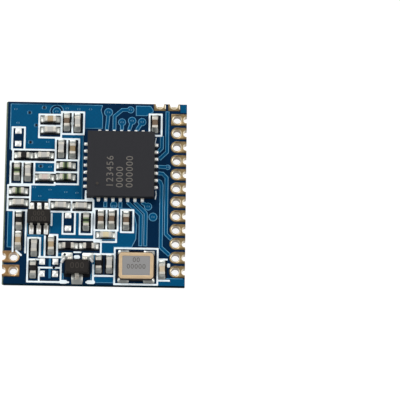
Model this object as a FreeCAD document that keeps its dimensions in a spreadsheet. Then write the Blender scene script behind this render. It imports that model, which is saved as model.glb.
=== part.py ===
import FreeCAD, Part
import math
import os
import Sketcher
from FreeCAD import Placement, Rotation, Vector

# Castellated radio transceiver module: a thin board that carries one leadless
# chip, two small leaded packages, a crystal and rows of chip components.
# X runs to the right, Y to the far edge, Z up from the board's underside.

os.makedirs("parts", exist_ok=True)
doc = FreeCAD.newDocument("radio_module")

# Driving sizes in millimetres
SIZES = {
    "board_width": 16.0,
    "board_length": 16.7,
    "board_thick": 0.8,
    "score_width": 0.16,
    "score_depth": 0.28,
    "copper_thick": 0.035,
    "track_width": 0.28,
    "clearance_ring": 0.62,
    "clearance_island": 0.36,
    "plating": 0.04,
    "hole_bore": 0.7,
    "edge_bore": 0.6,
    "pad_width": 1.08,
    "pad_pitch": 1.27,
    "header_inset": 0.862,
    "header_start": 1.287,
    "aerial_inset": 0.82,
    "aerial_start": 1.15,
    "top_pad_inset": 1.16,
    "top_pad_reach": 0.62,
    "top_bore": 0.76,
    "ink_width": 0.16,
    "ink_thick": 0.02,
    "land_thick": 0.04,
    "joint_width": 0.56,
    "joint_toe": 0.38,
    "joint_rise": 0.34,
    "joint_hollow": 0.35,
    "mask_gap": 0.08,
    "chip_length": 1.0,
    "chip_width": 0.5,
    "capacitor_tall": 0.5,
    "inductor_tall": 0.5,
    "resistor_tall": 0.32,
    "cap_length": 0.23,
    "cap_wrap": 0.015,
    "glaze_length": 0.5,
    "glaze_thick": 0.03,
    "radio_side": 6.0,
    "radio_tall": 0.83,
    "radio_standoff": 0.02,
    "radio_lead_pitch": 0.65,
    "radio_lead_width": 0.3,
    "radio_lead_length": 0.5,
    "radio_lead_thick": 0.2,
    "radio_paddle": 4.2,
    "radio_land_toe": 0.34,
    "dimple_diameter": 0.36,
    "dimple_depth": 0.03,
    "dimple_inset": 0.95,
    "body_draft": 8.0,
    "body_standoff": 0.06,
    "lead_thick": 0.12,
    "lead_bend": 0.11,
    "lead_embed": 0.12,
    "switch_length": 2.05,
    "switch_width": 1.25,
    "switch_tall": 0.9,
    "switch_span": 2.2,
    "switch_lead_pitch": 0.65,
    "switch_lead_width": 0.22,
    "switch_land_toe": 0.38,
    "switch_land_width": 0.4,
    "transistor_length": 2.05,
    "transistor_width": 1.25,
    "transistor_tall": 0.86,
    "transistor_span": 2.15,
    "transistor_lead_pitch": 1.36,
    "transistor_lead_width": 0.34,
    "transistor_land_toe": 0.4,
    "transistor_land_width": 0.94,
    "crystal_length": 3.2,
    "crystal_width": 2.5,
    "crystal_base_tall": 0.45,
    "crystal_notch": 0.2,
    "rim_inset": 0.07,
    "rim_width": 0.3,
    "rim_tall": 0.13,
    "rim_corner": 0.3,
    "lid_recess": 0.02,
    "crystal_land_length": 1.05,
    "crystal_land_width": 1.2,
    "crystal_land_out": 0.22,
    "bump_rise": 0.16,
    "bump_chamfer": 0.144,
    "bump_length": 0.62,
    "bump_width": 0.56,
    "bump_pitch": 1.08,
}
# Flats on each small etched or drilled round
ROUND_SIDES = 12
HEADER_PADS = 12
AERIAL_PADS = 2
TOP_PADS = 2
RADIO_LEADS_PER_SIDE = 7
SWITCH_LEADS_PER_SIDE = 3

# The board's size in the plan from which the places below are taken
PLAN_WIDTH = 16.0
PLAN_LENGTH = 16.7

# Places in plan, measured from the board's lower left corner
RADIO_AT = (10.166, 10.904)
SWITCH_AT = (2.98, 6.0)
TRANSISTOR_AT = (6.47, 1.5)
CRYSTAL_AT = (11.68, 1.67)

# Chip components: name, place of the centre, angle of the long axis
CAPACITORS = [
    ("tan_capacitor_1", 3.78, 15.08, 0),
    ("tan_capacitor_2", 1.18, 3.88, 90),
    ("tan_capacitor_3", 4.10, 3.52, 90),
    ("tan_capacitor_4", 5.83, 12.32, 90),
    ("brown_capacitor_1", 5.25, 14.90, 90),
    ("brown_capacitor_2", 8.47, 5.93, 90),
    ("brown_capacitor_3", 9.43, 5.95, 90),
    ("brown_capacitor_4", 10.72, 5.86, 90),
    ("brown_capacitor_5", 13.15, 14.87, 90),
    ("pale_capacitor_1", 3.80, 14.08, 0),
    ("pale_capacitor_2", 6.21, 14.83, 90),
    ("pale_capacitor_3", 4.80, 12.42, 90),
    ("pale_capacitor_4", 3.30, 11.71, 0),
    ("pale_capacitor_5", 1.88, 10.20, 90),
    ("pale_capacitor_6", 3.40, 9.68, 0),
    ("pale_capacitor_7", 1.12, 7.33, 0),
    ("pale_capacitor_8", 4.88, 7.15, 0),
    ("pale_capacitor_9", 6.70, 7.12, 0),
    ("pale_capacitor_10", 2.60, 3.35, 90),
    ("pale_capacitor_11", 8.95, 4.50, 0),
    ("pale_capacitor_12", 9.30, 1.92, 90),
    ("pale_capacitor_13", 13.98, 1.43, 90),
]
INDUCTORS = [
    ("inductor_1", 0.91, 10.25, 90),
    ("inductor_2", 5.25, 10.80, 0),
    ("inductor_3", 5.25, 9.74, 0),
    ("inductor_4", 1.08, 8.40, 0),
    ("inductor_5", 7.16, 5.75, 90),
]
RESISTORS = [
    ("resistor_1", 1.49, 11.70, 0),
    ("resistor_2", 1.20, 5.75, 90),
    ("resistor_3", 2.55, 1.37, 90),
    ("resistor_4", 5.62, 3.48, 0),
    ("resistor_5", 7.46, 3.48, 0),
    ("resistor_6", 8.35, 1.92, 90),
]
# Footprints left empty: two tinned lands each
EMPTY_FOOTPRINTS = [
    (0.95, 13.38, 90),
    (5.56, 5.66, 90),
    (3.94, 2.02, 0),
    (3.94, 0.92, 0),
]

# Copper under the mask: outlines of the poured areas
POURS = [
    [
        (0.22, 3.3), (0.22, 16.48), (8.42, 16.48), (8.3, 16.0), (8.45, 15.5), (8.45, 14.35),
        (6.75, 14.35), (6.75, 7.72), (7.85, 7.72), (7.85, 6.98), (11.0, 6.98), (11.45, 6.4),
        (11.65, 5.5), (11.6, 4.2), (11.25, 3.46), (9.68, 3.46), (9.68, 0.2), (2.0, 0.2), (2.0, 3.3),
    ],
    [(11.45, 16.48), (12.75, 16.48), (12.97, 16.15), (12.97, 15.95), (12.4, 15.6), (11.45, 15.6)],
    [(13.7, 0.2), (15.78, 0.2), (15.78, 0.66), (13.7, 0.66)],
    [(15.45, 16.48), (15.78, 16.48), (15.78, 16.0), (15.45, 16.0)],
]
# Tracks as the points of their middle lines
TRACKS = [
    [(8.97, 15.85), (8.85, 14.25)],
    [(9.52, 14.25), (9.52, 15.5), (10.2, 16.1), (10.95, 16.12)],
    [(10.2, 14.95), (10.2, 14.25)],
    [(11.1, 15.1), (10.85, 14.25)],
    [(12.0, 15.0), (11.55, 14.25)],
    [(14.26, 16.0), (14.26, 12.25), (13.6, 11.6)],
    [(13.79, 13.7), (13.79, 12.6), (13.5, 12.3)],
    [(13.55, 10.88), (14.35, 10.85)],
    [(13.5, 10.28), (13.9, 10.25), (14.26, 9.88), (14.26, 4.72), (14.75, 4.23)],
    [(13.5, 9.6), (13.7, 9.48), (13.82, 9.2), (13.82, 3.5), (14.6, 2.8)],
    [(8.84, 7.56), (8.84, 7.1)],
    [(9.5, 7.56), (9.6, 7.3)],
    [(10.18, 7.56), (10.18, 7.08)],
    [(10.82, 7.56), (12.02, 6.4), (12.02, 3.6)],
    [(11.47, 7.56), (12.45, 6.6), (12.45, 3.6)],
    [(12.12, 7.56), (12.65, 7.2)],
]
# Round lands at the ends of tracks: place and diameter
TRACK_LANDS = [
    (8.97, 15.85, 0.74),
    (10.95, 16.12, 0.6),
    (10.2, 14.95, 0.66),
    (11.1, 15.1, 0.7),
    (12.0, 15.0, 0.7),
    (14.35, 10.85, 0.44),
    (9.6, 7.3, 0.6),
    (12.65, 7.2, 0.66),
    (13.1, 6.25, 0.74),
]
# A round land that stands alone in a round gap of the pour
ISLAND_AT = (4.33, 15.85)

# Legend print: frames by two opposite corners, then single strokes by their ends
INK_FRAMES = [
    (0.42, 12.25, 1.52, 14.30),
    (2.79, 13.40, 4.77, 15.53),
    (4.80, 13.76, 6.79, 15.80),
    (4.32, 11.33, 6.40, 13.29),
    (0.34, 9.05, 2.45, 11.13),
    (4.30, 9.12, 6.37, 11.33),
    (0.16, 6.66, 2.14, 8.95),
    (3.86, 6.58, 7.77, 7.65),
    (5.09, 4.57, 6.17, 6.58),
    (6.61, 4.57, 7.68, 6.58),
    (7.90, 4.95, 9.98, 6.90),
    (10.27, 4.81, 11.35, 6.84),
]
INK_STROKES = [
    (2.79, 14.50, 4.77, 14.50),
    (5.76, 13.76, 5.76, 15.80),
    (5.34, 11.33, 5.34, 13.29),
    (1.40, 9.05, 1.40, 11.13),
    (4.30, 10.22, 6.37, 10.22),
    (0.16, 7.86, 2.14, 7.86),
    (5.845, 6.58, 5.845, 7.65),
    (8.97, 4.95, 8.97, 6.90),
    (0.52, 12.25, 4.32, 12.25),
    (0.52, 11.13, 0.52, 12.25),
    (0.34, 11.13, 4.30, 11.13),
    (2.45, 10.15, 4.30, 10.15),
    (2.45, 9.05, 4.30, 9.05),
    (0.72, 2.90, 0.72, 6.66),
    (1.83, 2.82, 1.83, 6.66),
    (2.06, 0.18, 2.06, 4.15),
    (2.06, 4.15, 3.13, 4.15),
    (3.13, 2.43, 3.13, 4.15),
    (2.10, 2.19, 3.05, 2.19),
    (2.06, 0.18, 5.70, 0.18),
    (3.55, 2.43, 3.55, 4.30),
    (3.98, 4.46, 4.65, 4.46),
    (4.65, 2.43, 4.65, 4.46),
    (3.05, 2.43, 5.02, 2.43),
    (3.05, 1.47, 5.02, 1.47),
    (3.10, 0.30, 3.10, 1.47),
    (5.02, 0.20, 5.02, 1.80),
    (4.65, 4.05, 8.52, 4.05),
    (8.52, 2.80, 8.52, 4.05),
    (7.30, 0.20, 7.95, 0.20),
    (7.88, 0.20, 7.88, 1.75),
    (4.10, 5.35, 4.10, 6.35),
    (7.92, 3.90, 9.86, 3.90),
    (7.92, 3.90, 7.92, 4.95),
    (9.86, 3.90, 9.86, 4.95),
    (7.95, 2.78, 9.76, 2.78),
    (7.98, 0.80, 9.76, 0.80),
    (9.76, 0.05, 9.76, 3.34),
    (7.08, 7.80, 7.08, 8.50),
    (7.08, 7.80, 7.62, 7.80),
]
LOW_INK_STROKES = [
    (9.84, 3.34, 13.57, 3.34),
    (13.57, 0.05, 13.57, 3.34),
    (9.84, 0.05, 13.57, 0.05),
    (13.65, 2.38, 14.38, 2.38),
    (13.65, 0.46, 14.60, 0.46),
    (12.66, 14.10, 12.66, 15.72),
    (12.66, 15.72, 13.75, 15.72),
    (13.75, 13.74, 13.75, 15.72),
    (13.20, 13.74, 13.75, 13.74),
]

sheet = doc.addObject("Spreadsheet::Sheet", "Sizes")
for row, (alias, value) in enumerate(SIZES.items(), start=1):
    sheet.set(f"A{row}", alias)
    sheet.set(f"B{row}", str(value))
    sheet.setAlias(f"B{row}", alias)
doc.recompute()

subparts = []


def size(alias):
    return float(sheet.get(alias))


def from_corner(x, y, z=0.0):
    """A place by its true distances from the board's lower left corner, in the part's own frame."""
    return Vector(x - size("board_width") / 2, y - size("board_length") / 2, z)


def on_board(x, y, z=0.0):
    """A plan place in the part's own frame: the layout spreads with the board."""
    return from_corner(x * size("board_width") / PLAN_WIDTH, y * size("board_length") / PLAN_LENGTH, z)


def land_level():
    """Height of the laminate's upper face, where every land lies."""
    return size("board_thick")


def seat_level():
    """Height of the lands' tops, where the leaded and leadless packages stand."""
    return size("board_thick") + size("land_thick")


def keep(feature, label, place=None):
    """Gives a finished sub-part its name and its place."""
    feature.Label = label
    if place is not None:
        feature.Placement = place
    subparts.append(feature)
    return feature


def shape_feature(label, shape, place=None):
    """A sub-part or a tool whose shape is worked out here from the sheet's sizes."""
    feature = doc.addObject("Part::Feature", label)
    feature.Shape = shape
    if place is not None:
        feature.Placement = place
    return feature


def cut_feature(label, base, tool):
    """What is left of the base once the tool is taken out."""
    cut = doc.addObject("Part::Cut", label)
    cut.Base = base
    cut.Tool = tool
    return cut


def origin_plane(body, role):
    for plane in body.Origin.OriginFeatures:
        if plane.Role == role:
            return plane
    raise ValueError(role)


def new_sketch(body, name, height=None):
    """A sketch on the body's ground plane, raised by an expression."""
    sketch = body.newObject("Sketcher::SketchObject", name)
    sketch.AttachmentSupport = (origin_plane(body, "XY_Plane"), [""])
    sketch.MapMode = "FlatFace"
    if height is not None:
        sketch.setExpression("AttachmentOffset.Base.z", height)
    return sketch


def bind(sketch, constraint, name, expression):
    """Adds a size to a sketch and ties it to the sheet."""
    number = sketch.addConstraint(constraint)
    sketch.renameConstraint(number, name)
    sketch.setExpression(f"Constraints.{name}", expression)


def draw_rectangle(sketch, width, length):
    """A rectangle about the sketch's origin whose two sizes follow the sheet."""
    drawn = 2.0
    half = drawn / 2
    corners = [Vector(-half, -half, 0), Vector(half, -half, 0), Vector(half, half, 0), Vector(-half, half, 0)]
    first = sketch.GeometryCount
    for start, end in zip(corners, corners[1:] + corners[:1]):
        sketch.addGeometry(Part.LineSegment(start, end), False)
    for side in range(4):
        following = first + (side + 1) % 4
        sketch.addConstraint(Sketcher.Constraint("Coincident", first + side, 2, following, 1))
    for side in (0, 2):
        sketch.addConstraint(Sketcher.Constraint("Horizontal", first + side))
    for side in (1, 3):
        sketch.addConstraint(Sketcher.Constraint("Vertical", first + side))
    sketch.addConstraint(Sketcher.Constraint("Symmetric", first, 1, first + 1, 2, -1, 1))
    bind(sketch, Sketcher.Constraint("DistanceX", first, 1, first, 2, drawn), f"width{first}", width)
    bind(sketch, Sketcher.Constraint("DistanceY", first + 1, 1, first + 1, 2, drawn), f"length{first}", length)


def draw_circle(sketch, diameter, across, along):
    """A circle whose diameter and place follow the sheet."""
    drawn = 1.0
    circle = sketch.addGeometry(Part.Circle(Vector(-drawn, -drawn, 0), Vector(0, 0, 1), drawn / 2), False)
    bind(sketch, Sketcher.Constraint("Diameter", circle, drawn), f"bore{circle}", diameter)
    bind(sketch, Sketcher.Constraint("DistanceX", -1, 1, circle, 3, -drawn), f"across{circle}", across)
    bind(sketch, Sketcher.Constraint("DistanceY", -1, 1, circle, 3, -drawn), f"along{circle}", along)


def add_pad(body, name, sketch, length, downwards=False, draft=None):
    pad = body.newObject("PartDesign::Pad", name)
    pad.Profile = sketch
    pad.setExpression("Length", length)
    pad.Reversed = downwards
    if draft is not None:
        pad.setExpression("TaperAngle", draft)
    doc.recompute()
    return pad


def add_pocket(body, name, sketch, depth):
    pocket = body.newObject("PartDesign::Pocket", name)
    pocket.Profile = sketch
    pocket.setExpression("Length", depth)
    doc.recompute()
    return pocket


def edges_where(shape, test):
    """Names of the edges whose middle passes the test."""
    names = []
    for number, edge in enumerate(shape.Edges, start=1):
        middle = edge.valueAt((edge.FirstParameter + edge.LastParameter) / 2)
        if test(middle):
            names.append(f"Edge{number}")
    return names


def block(x_low, x_high, y_low, y_high, z_low, z_high):
    return Part.makeBox(x_high - x_low, y_high - y_low, z_high - z_low, Vector(x_low, y_low, z_low))


def disc(place, diameter, z_low, thick):
    return Part.makeCylinder(diameter / 2, thick, Vector(place.x, place.y, z_low))


def prism(points, thick):
    """A plate from its outline, upwards by its thickness."""
    return Part.Face(Part.makePolygon(points + points[:1])).extrude(Vector(0, 0, thick))


def small_round(place, diameter, z_low, thick):
    """An etched or drilled round, small enough to be a prism of many sides."""
    spokes = [2 * math.pi * i / ROUND_SIDES for i in range(ROUND_SIDES)]
    radius = diameter / 2
    rim = [Vector(place.x + radius * math.cos(a), place.y + radius * math.sin(a), z_low) for a in spokes]
    return prism(rim, thick)


def joined(shapes):
    """One clean shape from several that touch or overlap."""
    first, *others = shapes
    if not others:
        return first
    return first.multiFuse(others).removeSplitter()


def turned(shape, place, angle):
    """A copy of a shape at a place, turned about Z."""
    copy = shape.copy()
    copy.Placement = Placement(place, Rotation(Vector(0, 0, 1), angle))
    return copy


# Plated pads along the edges

def pad_plate(reach, style, low, thick):
    """The land: round or square about its hole, or plain, and straight out to the board's edge."""
    half = size("pad_width") / 2
    plate = block(-half if style == "square" else 0, reach, -half, half, low, low + thick)
    if style == "round":
        return joined([plate, small_round(Vector(0, 0, 0), 2 * half, low, thick)])
    return plate


def edge_pad(reach, style, edge_bore):
    """A plated pad with its hole at the origin and the board's edge at x = reach.

    Returns the copper with its bores filled and the bores themselves.
    """
    plating = size("plating")
    top = land_level() + plating
    over = top + 2 * plating
    half = size("pad_width") / 2
    hole = size("hole_bore")
    rim = Vector(reach, 0, 0)
    parts = [pad_plate(reach, style, low, plating) for low in (0, land_level())]
    parts.append(small_round(rim, edge_bore + 2 * plating, 0, top))
    bores = [small_round(rim, edge_bore, -plating, over)]
    if style != "plain":
        parts.append(small_round(Vector(0, 0, 0), hole + 2 * plating, 0, top))
        bores.append(disc(Vector(0, 0, 0), hole, -plating, over))
    blank = joined(parts).common(block(-half, reach, -half, half, 0, top))
    return blank, Part.makeCompound(bores)


def header_places():
    x = size("board_width") - size("header_inset")
    return [from_corner(x, size("header_start") + i * size("pad_pitch")) for i in range(HEADER_PADS)]


def aerial_places():
    return [
        from_corner(size("aerial_inset"), size("aerial_start") + i * size("pad_pitch"))
        for i in range(AERIAL_PADS)
    ]


def top_pad_places():
    x, y = size("board_width") - size("top_pad_inset"), size("board_length") - size("top_pad_reach")
    return [from_corner(x - i * size("pad_pitch"), y) for i in range(TOP_PADS)]


def pad_row(label, places, angle, reach, edge_bore, styles):
    """A row of separate pads: the plated copper as a sub-part, and its blanks as a tool."""
    blanks, coppers = [], []
    for place, style in zip(places, styles):
        blank, bores = edge_pad(reach, style, edge_bore)
        blanks.append(turned(blank, place, angle))
        coppers.append(turned(blank.cut(bores), place, angle))
    keep(shape_feature(label, Part.makeCompound(coppers)), label)
    return blanks


header_styles = ["round"] * (HEADER_PADS - 1) + ["square"]
aerial_styles = ["square"] + ["round"] * (AERIAL_PADS - 1)
top_styles = ["plain"] * TOP_PADS
side_bore = size("edge_bore")
pad_blanks = pad_row("header_pads", header_places(), 0, size("header_inset"), side_bore, header_styles)
pad_blanks += pad_row("aerial_pads", aerial_places(), 180, size("aerial_inset"), side_bore, aerial_styles)
pad_blanks += pad_row("top_edge_pads", top_pad_places(), 90, size("top_pad_reach"), size("top_bore"), top_styles)


# Solder joints: a land with a fillet of solder that climbs the terminal

def hollow_fillet(face, outer, rise, width):
    """Land and hollow fillet beyond a terminal's face, along +X."""
    base, deck = land_level(), seat_level()
    corner, foot, crest = Vector(face, 0, base), Vector(outer, 0, deck), Vector(face, 0, base + rise)
    middle = (foot + crest) / 2 * (1 - size("joint_hollow")) + corner * size("joint_hollow")
    return strip([corner, Vector(outer, 0, base), foot, middle, crest], width)


def seated_fillet(inner, face, outer, rise, width):
    """Land that runs from under a lead to past its tip, with a straight fillet there."""
    base, deck = land_level(), seat_level()
    under = [Vector(face, 0, deck), Vector(inner, 0, deck), Vector(inner, 0, base), Vector(outer, 0, base)]
    return strip(under + [Vector(outer, 0, deck), Vector(face, 0, deck + rise)], width)


def strip(points, width):
    """A profile in the XZ plane drawn out evenly to both sides."""
    outline = [point - Vector(0, width / 2, 0) for point in points]
    return Part.Face(Part.makePolygon(outline + outline[:1])).extrude(Vector(0, width, 0))


def tinned_land():
    """An empty land with its low dome of solder."""
    length, width = size("bump_length"), size("bump_width")
    land = block(-length / 2, length / 2, -width / 2, width / 2, land_level(), seat_level())
    dome = block(-length / 2, length / 2, -width / 2, width / 2, seat_level(), seat_level() + size("bump_rise"))
    top_edges = [e for e in dome.Edges if e.BoundBox.ZMin > seat_level() + size("bump_rise") / 2]
    return joined([land, dome.makeChamfer(size("bump_chamfer"), top_edges)])


def pair_of(shape, place, angle):
    """The shape twice, facing away from the place along its axis."""
    return [turned(shape, place, angle), turned(shape, place, angle + 180)]


chips = CAPACITORS + INDUCTORS + RESISTORS
joints = []
half_chip = size("chip_length") / 2
chip_joint = hollow_fillet(half_chip, half_chip + size("joint_toe"), size("joint_rise"), size("joint_width"))
for name, x, y, angle in chips:
    joints += pair_of(chip_joint, on_board(x, y), angle)

bump = tinned_land()
for x, y, angle in EMPTY_FOOTPRINTS:
    for side in (-1, 1):
        step = Rotation(Vector(0, 0, 1), angle).multVec(Vector(side * size("bump_pitch") / 2, 0, 0))
        joints.append(turned(bump, on_board(x, y) + step, angle))


def row_offsets(count, pitch):
    return [(i - (count - 1) / 2) * pitch for i in range(count)]


def side_places(centre, offsets, sides):
    """Places along the sides of a package with the angle that each side faces."""
    for angle in sides:
        turn = Rotation(Vector(0, 0, 1), angle)
        for offset in offsets:
            yield on_board(*centre) + turn.multVec(Vector(0, offset, 0)), angle


half_radio = size("radio_side") / 2
radio_offsets = row_offsets(RADIO_LEADS_PER_SIDE, size("radio_lead_pitch"))
radio_joint = seated_fillet(
    half_radio - size("radio_lead_length"),
    half_radio,
    half_radio + size("radio_land_toe"),
    size("radio_lead_thick"),
    size("radio_lead_width"),
)
for place, angle in side_places(RADIO_AT, radio_offsets, (0, 90, 180, 270)):
    joints.append(turned(radio_joint, place, angle))

switch_offsets = row_offsets(SWITCH_LEADS_PER_SIDE, size("switch_lead_pitch"))
switch_tip = size("switch_span") / 2
switch_joint = seated_fillet(
    size("switch_width") / 2 + size("lead_thick"),
    switch_tip,
    switch_tip + size("switch_land_toe"),
    size("lead_thick"),
    size("switch_land_width"),
)
for place, angle in side_places(SWITCH_AT, switch_offsets, (90, 270)):
    joints.append(turned(switch_joint, place, angle))

transistor_offsets = row_offsets(2, size("transistor_lead_pitch"))
transistor_tip = size("transistor_span") / 2
transistor_joint = seated_fillet(
    size("transistor_width") / 2 + size("lead_thick"),
    transistor_tip,
    transistor_tip + size("transistor_land_toe"),
    size("lead_thick"),
    size("transistor_land_width"),
)
for place, angle in side_places(TRANSISTOR_AT, transistor_offsets, (90,)):
    joints.append(turned(transistor_joint, place, angle))
for place, angle in side_places(TRANSISTOR_AT, [0], (270,)):
    joints.append(turned(transistor_joint, place, angle))

crystal_land_middle = (size("crystal_length") - size("crystal_land_length")) / 2 + size("crystal_land_out") / 4
crystal_half = size("crystal_width") / 2
crystal_joint = seated_fillet(
    crystal_half + size("crystal_land_out") - size("crystal_land_width"),
    crystal_half,
    crystal_half + size("crystal_land_out"),
    size("crystal_base_tall") / 2,
    size("crystal_land_length"),
)
for place, angle in side_places(CRYSTAL_AT, [-crystal_land_middle, crystal_land_middle], (90, 270)):
    joints.append(turned(crystal_joint, place, angle))

keep(shape_feature("solder_joints", Part.makeCompound(joints)), "solder_joints")


# Laminate: scored along its left edge, drilled and notched for the plated pads

def make_laminate():
    body = doc.addObject("PartDesign::Body", "laminate")
    sketch = new_sketch(body, "laminate_outline")
    draw_rectangle(sketch, "Sizes.board_width", "Sizes.board_length")
    plate = add_pad(body, "laminate_plate", sketch, "Sizes.board_thick")
    left = -size("board_width") / 2
    scored = edges_where(plate.Shape, lambda p: abs(p.x - left) < 1e-6 and abs(p.y) < 1e-6)
    score = body.newObject("PartDesign::Chamfer", "score_line")
    score.Base = (plate, scored)
    score.ChamferType = 1
    score.setExpression("Size", "Sizes.score_depth")
    score.setExpression("Size2", "Sizes.score_width")
    doc.recompute()
    return body


laminate = make_laminate()
board_tool = shape_feature("board_tool", Part.makeCompound(pad_blanks))
keep(cut_feature("circuit_board", laminate, board_tool), "circuit_board")


# Copper under the mask: poured areas, tracks and their round lands

def plate_from(points):
    """A copper plate from an outline in plan."""
    return prism([on_board(x, y, land_level()) for x, y in points], size("copper_thick"))


def track_along(points):
    """A track with flat ends and round turns."""
    width = size("track_width")
    places = [on_board(x, y, land_level()) for x, y in points]
    pieces = []
    for start, end in zip(places, places[1:]):
        run = end - start
        bar = block(0, run.Length, -width / 2, width / 2, 0, size("copper_thick"))
        pieces.append(turned(bar, start, math.degrees(math.atan2(run.y, run.x))))
    for place in places[1:-1]:
        pieces.append(small_round(place, width, land_level(), size("copper_thick")))
    return joined(pieces)


def mask_window(x, y, angle, length, width):
    """A rectangular opening in the pour under a component."""
    tall = 2 * size("copper_thick")
    window = block(-length / 2, length / 2, -width / 2, width / 2, land_level(), land_level() + tall)
    return turned(window, on_board(x, y), angle)


gap = size("mask_gap")
chip_window = (size("chip_length") + 2 * (size("joint_toe") + gap), size("joint_width") + 2 * gap)
windows = [mask_window(x, y, angle, *chip_window) for name, x, y, angle in chips]
bump_window = (size("bump_pitch") + size("bump_length") + 2 * gap, size("bump_width") + 2 * gap)
windows += [mask_window(x, y, angle, *bump_window) for x, y, angle in EMPTY_FOOTPRINTS]
switch_land_reach = size("switch_span") + 2 * (size("switch_land_toe") + gap)
switch_land_row = 2 * size("switch_lead_pitch") + size("switch_land_width") + 2 * gap
windows.append(mask_window(*SWITCH_AT, 90, switch_land_reach, switch_land_row))
transistor_land_reach = size("transistor_span") + 2 * (size("transistor_land_toe") + gap)
transistor_land_row = size("transistor_lead_pitch") + size("transistor_land_width") + 2 * gap
windows.append(mask_window(*TRANSISTOR_AT, 90, transistor_land_reach, transistor_land_row))

pours = [plate_from(points) for points in POURS]
island_place = on_board(*ISLAND_AT)
copper_high = 2 * size("copper_thick")
clearances = windows + [small_round(island_place, 2 * size("clearance_ring"), land_level(), copper_high)]
pours = [pour.cut(clearances) for pour in pours]
tracks = [track_along(points) for points in TRACKS]
lands = [small_round(on_board(x, y), wide, land_level(), size("copper_thick")) for x, y, wide in TRACK_LANDS]
island = small_round(island_place, 2 * size("clearance_island"), land_level(), size("copper_thick"))
copper = joined(pours + tracks + lands + [island]).cut(joints + pad_blanks)
keep(shape_feature("masked_copper", copper), "masked_copper")


# Legend print

def ink_stroke(x_start, y_start, x_end, y_end, low, thick):
    """A straight stroke with square ends."""
    half = size("ink_width") / 2
    start = on_board(min(x_start, x_end), min(y_start, y_end))
    end = on_board(max(x_start, x_end), max(y_start, y_end))
    return block(start.x - half, end.x + half, start.y - half, end.y + half, low, low + thick)


def ink_frame(x_low, y_low, x_high, y_high):
    return [
        (x_low, y_low, x_high, y_low),
        (x_high, y_low, x_high, y_high),
        (x_low, y_high, x_high, y_high),
        (x_low, y_low, x_low, y_high),
    ]


ink_level = land_level() + size("copper_thick")
strokes = INK_STROKES + [side for frame in INK_FRAMES for side in ink_frame(*frame)]
ink = [ink_stroke(*stroke, ink_level, size("ink_thick")) for stroke in strokes]
low_ink_thick = size("copper_thick") + size("ink_thick")
low_ink = [ink_stroke(*stroke, land_level(), low_ink_thick) for stroke in LOW_INK_STROKES]
half_board = from_corner(size("board_width"), size("board_length"), 2 * land_level())
board_edge = block(-half_board.x, half_board.x, -half_board.y, half_board.y, 0, half_board.z)
legend = joined([joined(ink), joined(low_ink).cut(copper)]).common(board_edge).cut(joints + pad_blanks)
keep(shape_feature("legend_ink", legend), "legend_ink")


# Leadless radio chip

def make_radio_leads():
    """Square-ended leads along the four sides, and the paddle in the middle."""
    half_width = size("radio_lead_width") / 2
    lead = block(
        half_radio - size("radio_lead_length"), half_radio, -half_width, half_width, 0, size("radio_lead_thick")
    )
    leads = []
    for angle in (0, 90, 180, 270):
        turn = Rotation(Vector(0, 0, 1), angle)
        for offset in radio_offsets:
            leads.append(turned(lead, turn.multVec(Vector(0, offset, 0)), angle))
    half_paddle = size("radio_paddle") / 2
    leads.append(block(-half_paddle, half_paddle, -half_paddle, half_paddle, 0, size("radio_lead_thick")))
    return Part.makeCompound(leads)


def make_radio_body():
    body = doc.addObject("PartDesign::Body", "radio_moulding")
    outline = new_sketch(body, "radio_outline", "Sizes.radio_standoff")
    draw_rectangle(outline, "Sizes.radio_side", "Sizes.radio_side")
    add_pad(body, "radio_block", outline, "Sizes.radio_tall - Sizes.radio_standoff")
    mark = new_sketch(body, "pin_mark", "Sizes.radio_tall")
    inset = "-(Sizes.radio_side / 2 - Sizes.dimple_inset)"
    draw_circle(mark, "Sizes.dimple_diameter", inset, inset)
    add_pocket(body, "pin_mark_dimple", mark, "Sizes.dimple_depth")
    return body


radio_place = Placement(on_board(*RADIO_AT, seat_level()), Rotation())
radio_leads = make_radio_leads()
radio_lead_tool = shape_feature("radio_lead_tool", radio_leads)
keep(cut_feature("radio_chip_body", make_radio_body(), radio_lead_tool), "radio_chip_body", radio_place)
keep(shape_feature("radio_chip_leads_and_paddle", radio_leads), "radio_chip_leads_and_paddle", radio_place)


# Leaded packages with gull-wing leads

def gull_wing(half_body, tip, shoulder, width):
    """A flat strip bent twice: out of the body, down, and along the land."""
    thick = size("lead_thick")
    bend = size("lead_bend")
    inner = half_body - size("lead_embed")
    leg_out = half_body + 2 * thick
    leg_in = leg_out - thick
    lower, upper = shoulder - thick / 2, shoulder + thick / 2
    corner = bend * (1 - math.sqrt(0.5))
    shoulder_end = [(inner, lower), (inner, upper)]
    crown = [(leg_out - bend, upper), (leg_out - corner, upper - corner), (leg_out, upper - bend)]
    foot = [(leg_out, thick), (tip, thick), (tip, 0)]
    heel = [(leg_in + bend, 0), (leg_in + corner, corner), (leg_in, bend), (leg_in, lower)]
    return strip([Vector(x, 0, z) for x, z in shoulder_end + crown + foot + heel], width)


def make_package_body(kind):
    """A moulded body in two halves that draw in from the parting line."""
    body = doc.addObject("PartDesign::Body", f"{kind}_moulding")
    half_tall = f"Sizes.{kind}_tall / 2"
    parting = new_sketch(body, f"{kind}_parting", f"Sizes.body_standoff + {half_tall}")
    draw_rectangle(parting, f"Sizes.{kind}_length", f"Sizes.{kind}_width")
    add_pad(body, f"{kind}_upper", parting, half_tall, draft="-Sizes.body_draft")
    lower = new_sketch(body, f"{kind}_parting_below", f"Sizes.body_standoff + {half_tall}")
    draw_rectangle(lower, f"Sizes.{kind}_length", f"Sizes.{kind}_width")
    add_pad(body, f"{kind}_lower", lower, half_tall, downwards=True, draft="-Sizes.body_draft")
    return body


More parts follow.
